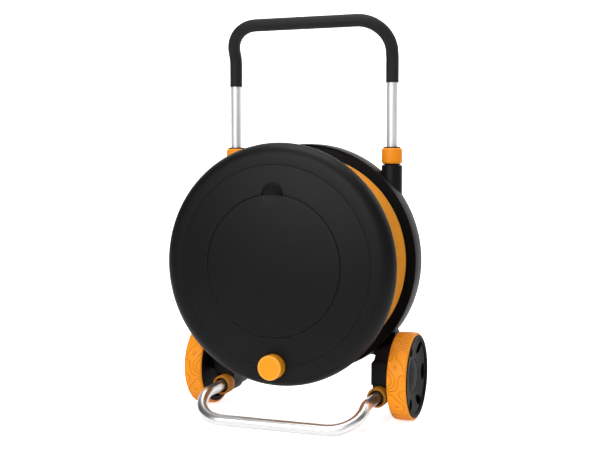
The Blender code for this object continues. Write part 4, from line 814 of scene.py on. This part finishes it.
def make_column():
    """The right column; the left one is its other hand."""
    post_axis = (COLUMN_X, PLANE, 0)
    socket_axis = (FOOT_X, PLANE, FOOT_Z)
    foot = 0.116
    slim = 0.0150                     # radius of the post inside the axle block
    outline = [(0, foot), (slim, foot), (slim, 0.180, 0.03), (COLUMN, 0.216, 0.03),
               (COLUMN, COLUMN_TOP, 0.0022), (0, COLUMN_TOP)]
    post = turned("column_right_moulding", outline, "Z", post_axis, 96)
    joined(post, make_axle_block())
    socket = 0.0185
    tail = 0.0134
    tail_end = 0.0205
    outline = [(0, SOCKET_FRONT), (socket, SOCKET_FRONT, 0.001), (socket, -0.018, 0.004),
               (tail, -0.0165, 0.001), (tail, tail_end, 0.002), (0, tail_end)]
    joined(post, turned("foot_socket", outline, "Y", socket_axis, 96))
    joined(post, extruded("gusset", gusset_points(), "Y", -0.019, -0.002))
    spigot = 0.012                    # depth of a collet's seat
    floor = 0.1705
    past = COLUMN_TOP + 0.01
    seat = COLUMN_TOP - spigot
    outline = [(0, floor), (TUBE_BORE, floor), (TUBE_BORE, seat), (COLLET_BORE, seat), (COLLET_BORE, past),
               (0, past)]
    carved(post, turned("handle_bore", outline, "Z", post_axis, 96))
    floor = 0.015
    past = -0.08
    seat = SOCKET_FRONT + spigot
    outline = [(0, past), (COLLET_BORE, past), (COLLET_BORE, seat), (TUBE_BORE, seat), (TUBE_BORE, floor),
               (0, floor)]
    carved(post, turned("foot_bore", outline, "Y", socket_axis, 96))
    carved(post, rod("axle_bore", 0.0063, 0.1, 0.3, "X", AXLE, 48))
    smooth(post, 30)
    other = mirrored(post, "column_left_moulding")
    settle(post, "frame", BLACK, "column_right")
    settle(other, "frame", BLACK, "column_left")


def collet(name, seat, outward, axis, centre, taper):
    """A clamping sleeve in the end of a column, with a flange on its seat and a tapered tip."""
    inner = 0.011419
    outer = inner + 0.003
    flange = outer + 0.0032
    base = seat - outward * 0.0117
    low = seat + outward * GAP
    high = low + outward * 0.0022
    tip = high + outward * taper
    outline = [(inner, base), (outer, base), (outer, low), (flange, low, 0.0005), (flange, high, 0.0005),
               (outer, high), (outer - 0.0006, tip, 0.0006), (inner, tip)]
    return turned(name, outline, axis, centre, 64)


def make_collars():
    """Each column's two collets, their twist collars, and a thin black ring on the upper one's top, which is
    painted shade for the shaded gap there.
    """
    lip = 0.0117
    end = 0.0182
    radius = 0.0209
    base = COLUMN_TOP + COLLAR_ROOM
    top = base + 0.0316
    upper = [(COLLAR_BORE, base), (end, base, 0.0004), (radius, base + 0.0024, 0.0008),
             (radius, top - 0.0028, 0.0008), (end, top, 0.0004), (lip, top, 0.0003),
             (lip, top - 0.0016), (COLLAR_BORE, top - 0.0016)]
    # A thin black ring on the collar's top: painted shade, a dark solid standing for the shaded gap there
    shade_ring = [(lip, top), (0.0176, top), (0.0176, top + 0.0022, 0.0006), (lip, top + 0.0028, 0.0003)]

    back = SOCKET_FRONT - COLLAR_ROOM
    front = back - 0.027
    lower = [(COLLAR_BORE, back), (0.020, back, 0.0009), (0.020, front + 0.0028, 0.0006),
             (0.0172, front, 0.0006), (0.0156, front, 0.0004)]

    for side, word in ((-1, "left"), (1, "right")):
        place = (side * COLUMN_X, PLANE, 0)
        settle(collet("upper_collet_" + word, COLUMN_TOP, 1, "Z", place, 0.0279), "frame", BLACK,
               "collet_upper_" + word)
        body = "upper_collar_" + word
        settle(turned(body + "_moulding", upper, "Z", place, 96), body, ORANGE, "collar_upper_" + word)
        settle(turned(body + "_wiper", shade_ring, "Z", place, 96), body, BLACK)

        place = (side * FOOT_X, PLANE, FOOT_Z)
        settle(collet("lower_collet_" + word, SOCKET_FRONT, -1, "Y", place, 0.022), "frame", BLACK,
               "collet_lower_" + word)
        body = "lower_collar_" + word
        # The lower collars wear the darker orange copy, which is painted shade
        settle(turned(body + "_moulding", lower, "Y", place, 96), body, SHADED_LOW_ORANGE, "collar_lower_" + word)


# Bent tubes

def make_handle():
    bar = 0.799
    rise = 0.063                      # from the kinks up to the bar
    kink = bar - rise
    lean = rise * math.tan(math.radians(32))
    bends = (0.045, 0.063, 0.063, 0.045)

    def path(low):
        return [(-COLUMN_X, PLANE, low), (-COLUMN_X, PLANE, kink), (-COLUMN_X, PLANE - lean, bar),
                (COLUMN_X, PLANE - lean, bar), (COLUMN_X, PLANE, kink), (COLUMN_X, PLANE, low)]

    tube = bent_tube("handle_tube_drawn", path(COLUMN_TOP - 0.210), bends, TUBE)
    walled(tube, TUBE_WALL, 0.0003)
    settle(tube, "handle", UPRIGHT_TUBE, "handle_tube")
    grip = bent_tube("grip_sleeve", path(bar - 0.123), bends, 0.01289)
    walled(grip, 0.0016, 0.0004)
    settle(grip, "handle", GRIP, "handle_grip")


def make_foot():
    """Two legs that slope down from their kinks to a bar that lies on the ground."""
    end = PLANE - 0.020
    kink = PLANE - 0.158
    bar = PLANE - 0.221
    path = [(-FOOT_X, end, FOOT_Z), (-FOOT_X, kink, FOOT_Z), (-FOOT_X, bar, TUBE),
            (FOOT_X, bar, TUBE), (FOOT_X, kink, FOOT_Z), (FOOT_X, end, FOOT_Z)]
    tube = bent_tube("foot_tube_drawn", path, (0.038, 0.061, 0.061, 0.038), TUBE)
    walled(tube, TUBE_WALL, 0.0003)
    # The foot wears the darker tube copy, which is painted shade
    settle(tube, "foot", FOOT_TUBE, "foot_tube")


# Wheels

def crown(off):
    """Radius of the tread at a distance from its middle: domed a little, with round shoulders."""
    hair = 0.00001                    # that the tread stays above the ground
    droop = 0.0011 * (off / TREAD_HALF) ** 2
    over = max(abs(off) - TREAD_HALF + SHOULDER, 0.0)
    return AXLE_Z - hair - droop - SHOULDER + math.sqrt(max(SHOULDER ** 2 - over ** 2, 0.0))


def relief(a, off):
    """Height of a soft landscape round the tread, whose level lines are its pattern."""
    u = off / TREAD_HALF
    return (1.2 * math.sin(4 * a + 0.8 * u) + 0.95 * math.sin(7 * a - 1.7 * u + 0.7)
            + 1.1 * u * u * math.cos(3 * a) + 0.3 * math.sin(12 * a + 2.2 * u))


def from_line(spot):
    """How far a point of the tread lies from the nearest level line; elsewhere, no distance is near."""
    y = spot.y - AXLE_Y
    z = spot.z - AXLE_Z
    off = spot.x - TREAD_MIDDLE
    if abs(off) > TREAD_HALF * 0.86 or math.hypot(y, z) < crown(off) - 0.0002:
        return math.inf
    a = math.atan2(z, y)
    turn = 0.01
    shift = 0.0005
    level = relief(a, off)
    slope = math.hypot((relief(a + turn, off) - level) / (turn * AXLE_Z),
                       (relief(a, off + shift) - level) / shift)
    return abs(level - round(level)) / max(slope, 25.0)


def make_tyre():
    """The tread, with fine grooves along the level lines, which its finish darkens with painted shade."""
    bore = BARREL + GAP
    side = 0.0825
    shoulder = crown(TREAD_HALF)
    offsets = [TREAD_HALF * math.sin(k * math.pi / 96) for k in range(-48, 49)]
    outline = [(bore, TREAD_IN + 0.0024), (shoulder - 0.0004, TREAD_IN + 0.0024),
               (shoulder - 0.0002, TREAD_IN)]
    outline += [(crown(off), TREAD_MIDDLE + off) for off in offsets]
    outline += [(side, TREAD_OUT), (side, TREAD_OUT - 0.0023), (bore, TREAD_OUT - 0.0023)]
    tyre = turned("tread_ring", outline, "X", AXLE, 720)
    # How strongly the painted shade darkens each vertex near a groove
    groove = [min(max(1.4 - from_line(vert.co) / 0.0009, 0.0), 1.0) for vert in tyre.data.vertices]
    pick(tyre, lambda spot: from_line(spot) < 0.0007)
    bpy.ops.transform.shrink_fatten(value=-0.0007)
    out_of_edit()
    tyre.data.attributes.new("groove", 'FLOAT', 'POINT').data.foreach_set("value", groove)
    smooth(tyre, 40)
    return tyre


def make_rim():
    """Hub, web and barrel, with a flange inside the tyre and a lip over its outer side."""
    hub_in = WHEEL_IN + 0.0005
    hub = 0.016
    bore = 0.0092
    web = WHEEL_IN + 0.017
    flange = crown(TREAD_HALF) - 0.0008
    flange_end = TREAD_IN + 0.0021
    lip = 0.0822
    lip_in = TREAD_OUT - 0.0020
    lip_out = WHEEL_OUT + 0.0026
    outline = [(bore, hub_in), (hub, hub_in, 0.0008), (hub, web, 0.002), (BARREL_INSIDE, web, 0.002),
               (BARREL_INSIDE, TREAD_IN, 0.0006), (flange, TREAD_IN, 0.0006), (flange, flange_end, 0.0004),
               (BARREL, flange_end), (BARREL, lip_in), (lip, lip_in), (lip, lip_out, 0.0008),
               (lip - 0.0020, lip_out, 0.0006), (BARREL_INSIDE, WHEEL_OUT - 0.0006, 0.001),
               (BARREL_INSIDE, web + SKIN, 0.002), (hub, web + SKIN, 0.002), (hub, BOSS_END, 0.0006),
               (bore, BOSS_END)]
    return turned("wheel_moulding", outline, "X", AXLE, 144)


def make_face():
    """A shallow dished face with a ring groove round its middle and six windows."""
    edge = BARREL_INSIDE - GAP
    room = 0.0126                     # for the push cap on the axle
    outline = [(0, 0.0030), (0.0135, 0.0034, 0.004), (0.0325, 0.0068), (0.0330, 0.0075), (0.0342, 0.0075),
               (0.0347, 0.0067), (0.0700, 0.0022, 0.003), (edge, 0.0018, 0.0006), (edge, 0.0045),
               (0.0700, 0.0047), (0.0350, 0.0095), (room, 0.0098), (room, 0.0046), (0, 0.0046)]
    outline = [(radius, WHEEL_OUT - depth, *ease) for radius, depth, *ease in outline]
    face = turned("wheel_face", outline, "X", AXLE, 144)
    windows = 6
    circle = 0.062
    for k in range(windows):
        a = math.radians(360 * k / windows - 1)
        spot = (WHEEL_OUT - 0.0030, AXLE_Y + circle * math.cos(a), AXLE_Z + circle * math.sin(a))
        window = ball("face_window", 0.01, spot, (1.3, 1.75, 0.95))
        carved(face, rotated(window, a - math.pi / 2, 'X', spot))
    smooth(face, 32)
    return face


def make_bush():
    bore = 0.0064
    flange = 0.0128
    low = WHEEL_IN - 0.0022
    high = WHEEL_IN + 0.0002
    outline = [(bore, low), (flange, low, 0.0004), (flange, high, 0.0004), (0.0088, high),
               (0.0088, BOSS_END), (bore, BOSS_END)]
    return turned("wheel_bush_moulding", outline, "X", AXLE, 64)


def make_axle():
    radius = 0.006
    head = 0.009
    seat = COLUMN_X - BLOCK_HALF - GAP
    outline = [(0, seat - 0.0025), (head, seat - 0.0025, 0.0009), (head, seat, 0.0003), (radius, seat),
               (radius, AXLE_END, 0.0005), (0, AXLE_END)]
    return turned("stub_axle", outline, "X", AXLE, 64)


def make_push_cap():
    bore = 0.0063
    radius = 0.012
    back = BOSS_END + GAP
    top = AXLE_END + 0.0021
    outline = [(bore, back), (radius, back), (radius, top, 0.0015), (0, top), (0, AXLE_END + GAP),
               (bore, AXLE_END + GAP)]
    return turned("push_cap", outline, "X", AXLE, 64)


def make_wheels():
    """Each piece is made for the right wheel, and its other hand goes to the left one."""
    for piece, turns, finish, node in (
            (make_tyre(), True, TREAD, "tyre_"),
            (make_rim(), True, FACE_BLACK, "wheel_rim_"),
            (make_face(), True, FACE_BLACK, "hub_cap_"),
            (make_bush(), True, NYLON, "wheel_bush_"),
            (make_axle(), False, ZINC, "wheel_axle_"),
            (make_push_cap(), False, ZINC, "axle_cap_")):
        name = piece.name
        other = mirrored(piece, name + "_left")
        piece.name = name + "_right"
        piece.data.name = piece.name
        for hand, word in ((piece, "right"), (other, "left")):
            settle(hand, "wheel_" + word if turns else "frame", finish, node + word)


# Screws, spindle and water inlet

def make_pan_head():
    """A pan head screw with a cross recess, its seat at the origin and its head towards +Y."""
    head = 0.0042
    shank = 0.0020
    tip = -0.012
    outline = [(0, tip), (0.0006, tip), (shank, tip + 0.0025), (shank, 0), (head, 0, 0.0003),
               (head * 0.93, 0.0010, 0.0006), (head * 0.62, 0.0021, 0.0010), (0, 0.0022)]
    screw = turned("pan_head_screw", outline, "Y", (0, 0, 0), 48)
    middle = (0, 0.0019, 0)
    for size in ((0.0044, 0.0024, 0.0008), (0.0008, 0.0024, 0.0044)):
        nothing_selected()
        bpy.ops.mesh.primitive_cube_add(size=1, location=middle)
        bar = bpy.context.object
        into_edit()
        bpy.ops.mesh.select_all(action='SELECT')
        bpy.ops.transform.resize(value=size, center_override=middle)
        out_of_edit()
        at_origin(bar)
        carved(screw, bar)
    smooth(screw)
    return screw


def make_screws():
    """A copy of one screw for each place, turned as screws happen to end up."""
    first = make_pan_head()
    places = []
    for side, word in ((-1, "left"), (1, "right")):
        for rise, level in ((-0.067, "low"), (0.083, "high")):
            places.append(("shell_screw_" + level + "_" + word, False,
                           Vector((side * COLUMN_X, PLANE + SHELL_FRONT - GAP, REEL_Z + rise))))
    hub_screws = 3
    circle = 0.0215
    seat = HUB_BACK + SPINDLE_FLANGE + 2 * GAP
    for k in range(hub_screws):
        a = math.pi / 2 + 2 * math.pi * k / hub_screws
        places.append(("hub_screw_" + str(k + 1), True,
                       HUB + Vector((circle * math.cos(a), seat, circle * math.sin(a)))))
    for count, (node, from_behind, place) in enumerate(places):
        screw = copy_of(first, node + "_pan_head")
        rotated(screw, math.radians(17 + 41 * count), 'Y', (0, 0, 0))
        if not from_behind:
            rotated(screw, math.pi, 'Z', (0, 0, 0))
        moved(screw, place)
        settle(screw, "frame", ZINC, node)
    bpy.data.objects.remove(first, do_unlink=True)


def make_inlet():
    """The elbow on the spindle, and the hose connector on its arm."""
    radius = 0.0115                   # of the arm
    reach = 0.060
    base = HUB_BACK + SPINDLE_FLANGE + 2 * GAP
    arm = base + radius + 0.002
    back = arm + radius + 0.001
    elbow = turned("elbow_moulding", [(0, base), (0.0135, base, 0.0004), (0.0135, back, 0.0024), (0, back)],
                   steps=96)
    centre = (0, PLANE + arm, REEL_Z)
    joined(elbow, turned("elbow_arm", [(0, 0), (radius, 0), (radius, reach, 0.0006), (0, reach)], "X",
                         centre, 80))
    carved(elbow, rod("elbow_bore", 0.0065, base - 0.01, arm + 0.0052, steps=64))
    carved(elbow, rod("arm_bore", 0.0061, 0, 0.08, "X", centre, 64))
    smooth(elbow)
    settle(elbow, "frame", BLACK, "inlet_elbow")

    washer = reach + GAP
    start = washer + 0.0018
    outline = [(0.0065, washer), (0.0105, washer, 0.0003), (0.0105, start - GAP, 0.0003),
               (0.0065, start - GAP)]
    settle(turned("inlet_washer", outline, "X", centre, 64), "frame", SEAL, "inlet_seal")

    # The connector's collar, neck, barb and tip
    profile = ((0.0055, 0.0), (0.0150, 0.0, 0.0006), (0.0150, 0.010, 0.0010), (0.0095, 0.012),
               (0.0082, 0.016, 0.002), (0.0082, 0.020, 0.001), (0.0100, 0.023, 0.0006),
               (0.0100, 0.026, 0.0006), (0.0078, 0.028, 0.001), (0.0070, 0.034, 0.0006), (0.0055, 0.034))
    outline = [(r, start + along, *ease) for r, along, *ease in profile]
    connector = turned("connector_moulding", outline, "X", centre, 96)
    flutes = 16
    circle = 0.0156
    for k in range(flutes):
        a = 2 * math.pi * k / flutes
        spot = (centre[0], centre[1] + circle * math.cos(a), centre[2] + circle * math.sin(a))
        carved(connector, rod("finger_flute", 0.0013, start - 0.01, start + 0.0088, "X", spot, 16))
    smooth(connector)
    settle(connector, "frame", ORANGE, "inlet_connector")


def make_spindle():
    """A hollow shaft that carries the reel, with a flange on the back of the dish's hub."""
    radius = 0.014
    bore = 0.007
    tip = -0.1363
    floor = -0.092
    flange = HUB_BACK + GAP
    back = flange + SPINDLE_FLANGE
    outline = [(0, tip), (radius - 0.001, tip), (radius, tip + 0.001), (radius, flange),
               (0.027, flange, 0.0008), (0.027, back, 0.0010), (bore, back), (bore, floor), (0, floor)]
    settle(turned("spindle_flange_moulding", outline, steps=96), "frame", NYLON, "reel_spindle")


make_front_disc()
make_lid()
make_knob()
make_compartment()
make_drum()
make_shell()
make_column()
make_collars()
make_handle()
make_foot()
make_wheels()
make_screws()
make_inlet()
make_spindle()


# Studio

def bright_to_look_at(tree, low, high, socket):
    """A glow that is plain to look at, and gives only a little light."""
    seen = tree.nodes.new('ShaderNodeLightPath')
    level = tree.nodes.new('ShaderNodeMapRange')
    level.inputs["To Min"].default_value = low
    level.inputs["To Max"].default_value = high
    tree.links.new(seen.outputs["Is Camera Ray"], level.inputs["Value"])
    tree.links.new(level.outputs["Result"], socket)


def make_paper():
    """Plain white paper with a faint mottle."""
    paper = Finish("white_paper", None, Roughness=0.9, Specular_IOR_Level=0.1, Emission_Color=(1, 1, 1, 1))
    stops = [(0.0, (0.92, 0.92, 0.92)), (1.0, (0.94, 0.94, 0.94))]
    mottle = paper.add('ShaderNodeValToRGB', {"stops": stops}, [paper.noise(3.0, 2.0)])
    paper.feed("Base Color", mottle.outputs["Color"])
    bright_to_look_at(paper.tree, 0.25, 0.60, paper.shader.inputs["Emission Strength"])
    return paper.material


def make_sweep():
    """The paper: a floor that runs up behind the cart in a wide curve."""
    nothing_selected()
    bpy.ops.mesh.primitive_plane_add(size=1, location=(0, 0, 0))
    sweep = bpy.context.object
    sweep.name = "paper_sweep"
    into_edit()
    bpy.ops.mesh.select_all(action='SELECT')
    bpy.ops.transform.resize(value=(12, 4.4, 1), center_override=(0, 0, 0))
    bpy.ops.transform.translate(value=(-1.0, 1.5, 0))
    out_of_edit()
    pick(sweep, lambda spot: spot.y > 3.0)
    bpy.ops.mesh.spin(steps=16, angle=math.pi / 2, center=(0, 3.7, 1.5), axis=(1, 0, 0))
    bpy.ops.mesh.extrude_region_move(TRANSFORM_OT_translate={"value": (0, 0, 4.0)})
    bpy.ops.mesh.select_all(action='SELECT')
    bpy.ops.mesh.remove_doubles(threshold=1e-5)
    bpy.ops.mesh.normals_make_consistent(inside=False)
    out_of_edit()
    sweep.data.materials.append(make_paper())
    smooth(sweep, 60)
    return sweep


def make_lamp(name, azimuth, rise, reach, size, power):
    """A square soft panel that looks at the cart's middle from a bearing."""
    aim = Vector((0, 0, 0.4))
    a = math.radians(azimuth)
    e = math.radians(rise)
    place = aim + reach * Vector((math.sin(a) * math.cos(e), -math.cos(a) * math.cos(e), math.sin(e)))
    light = bpy.data.lights.new(name, 'AREA')
    light.shape = 'SQUARE'
    light.size = size
    light.energy = power
    lamp = bpy.data.objects.new(name, light)
    bpy.context.scene.collection.objects.link(lamp)
    lamp.location = place
    lamp.rotation_euler = (aim - place).to_track_quat('-Z', 'Y').to_euler()
    return lamp


def make_studio():
    """White paper, soft panels round the cart and a weak white room."""
    sweep = make_sweep()
    world = bpy.data.worlds.new("studio")
    bpy.context.scene.world = world
    world.use_nodes = True
    room = world.node_tree.nodes["Background"].inputs
    room["Color"].default_value = (1, 1, 1, 1)
    bright_to_look_at(world.node_tree, 0.05, 1.0, room["Strength"])
    lamps = [make_lamp("front_panel_left", -14, 20, 3.0, 1.5, 58.0),
             make_lamp("front_panel_right", 6, 22, 3.0, 1.5, 33.0),
             make_lamp("side_panel", 55, 8, 3.0, 1.6, 7.0),
             make_lamp("top_panel", 0, 88, 2.7, 2.0, 76.0),
             make_lamp("back_panel_left", -130, 35, 3.0, 1.6, 6.0),
             make_lamp("back_panel_right", 130, 35, 3.0, 1.6, 20.0)]


def make_camera():
    view = bpy.data.cameras.new("view")
    view.lens = LENS
    view.sensor_width = 36.0
    camera = bpy.data.objects.new("view", view)
    bpy.context.scene.collection.objects.link(camera)
    camera.location = CAMERA_PLACE
    camera.rotation_euler = SIGHT.to_track_quat('-Z', 'Y').to_euler()
    bpy.context.scene.camera = camera


make_studio()
make_camera()
bpy.context.scene.view_settings.view_transform = 'Standard'
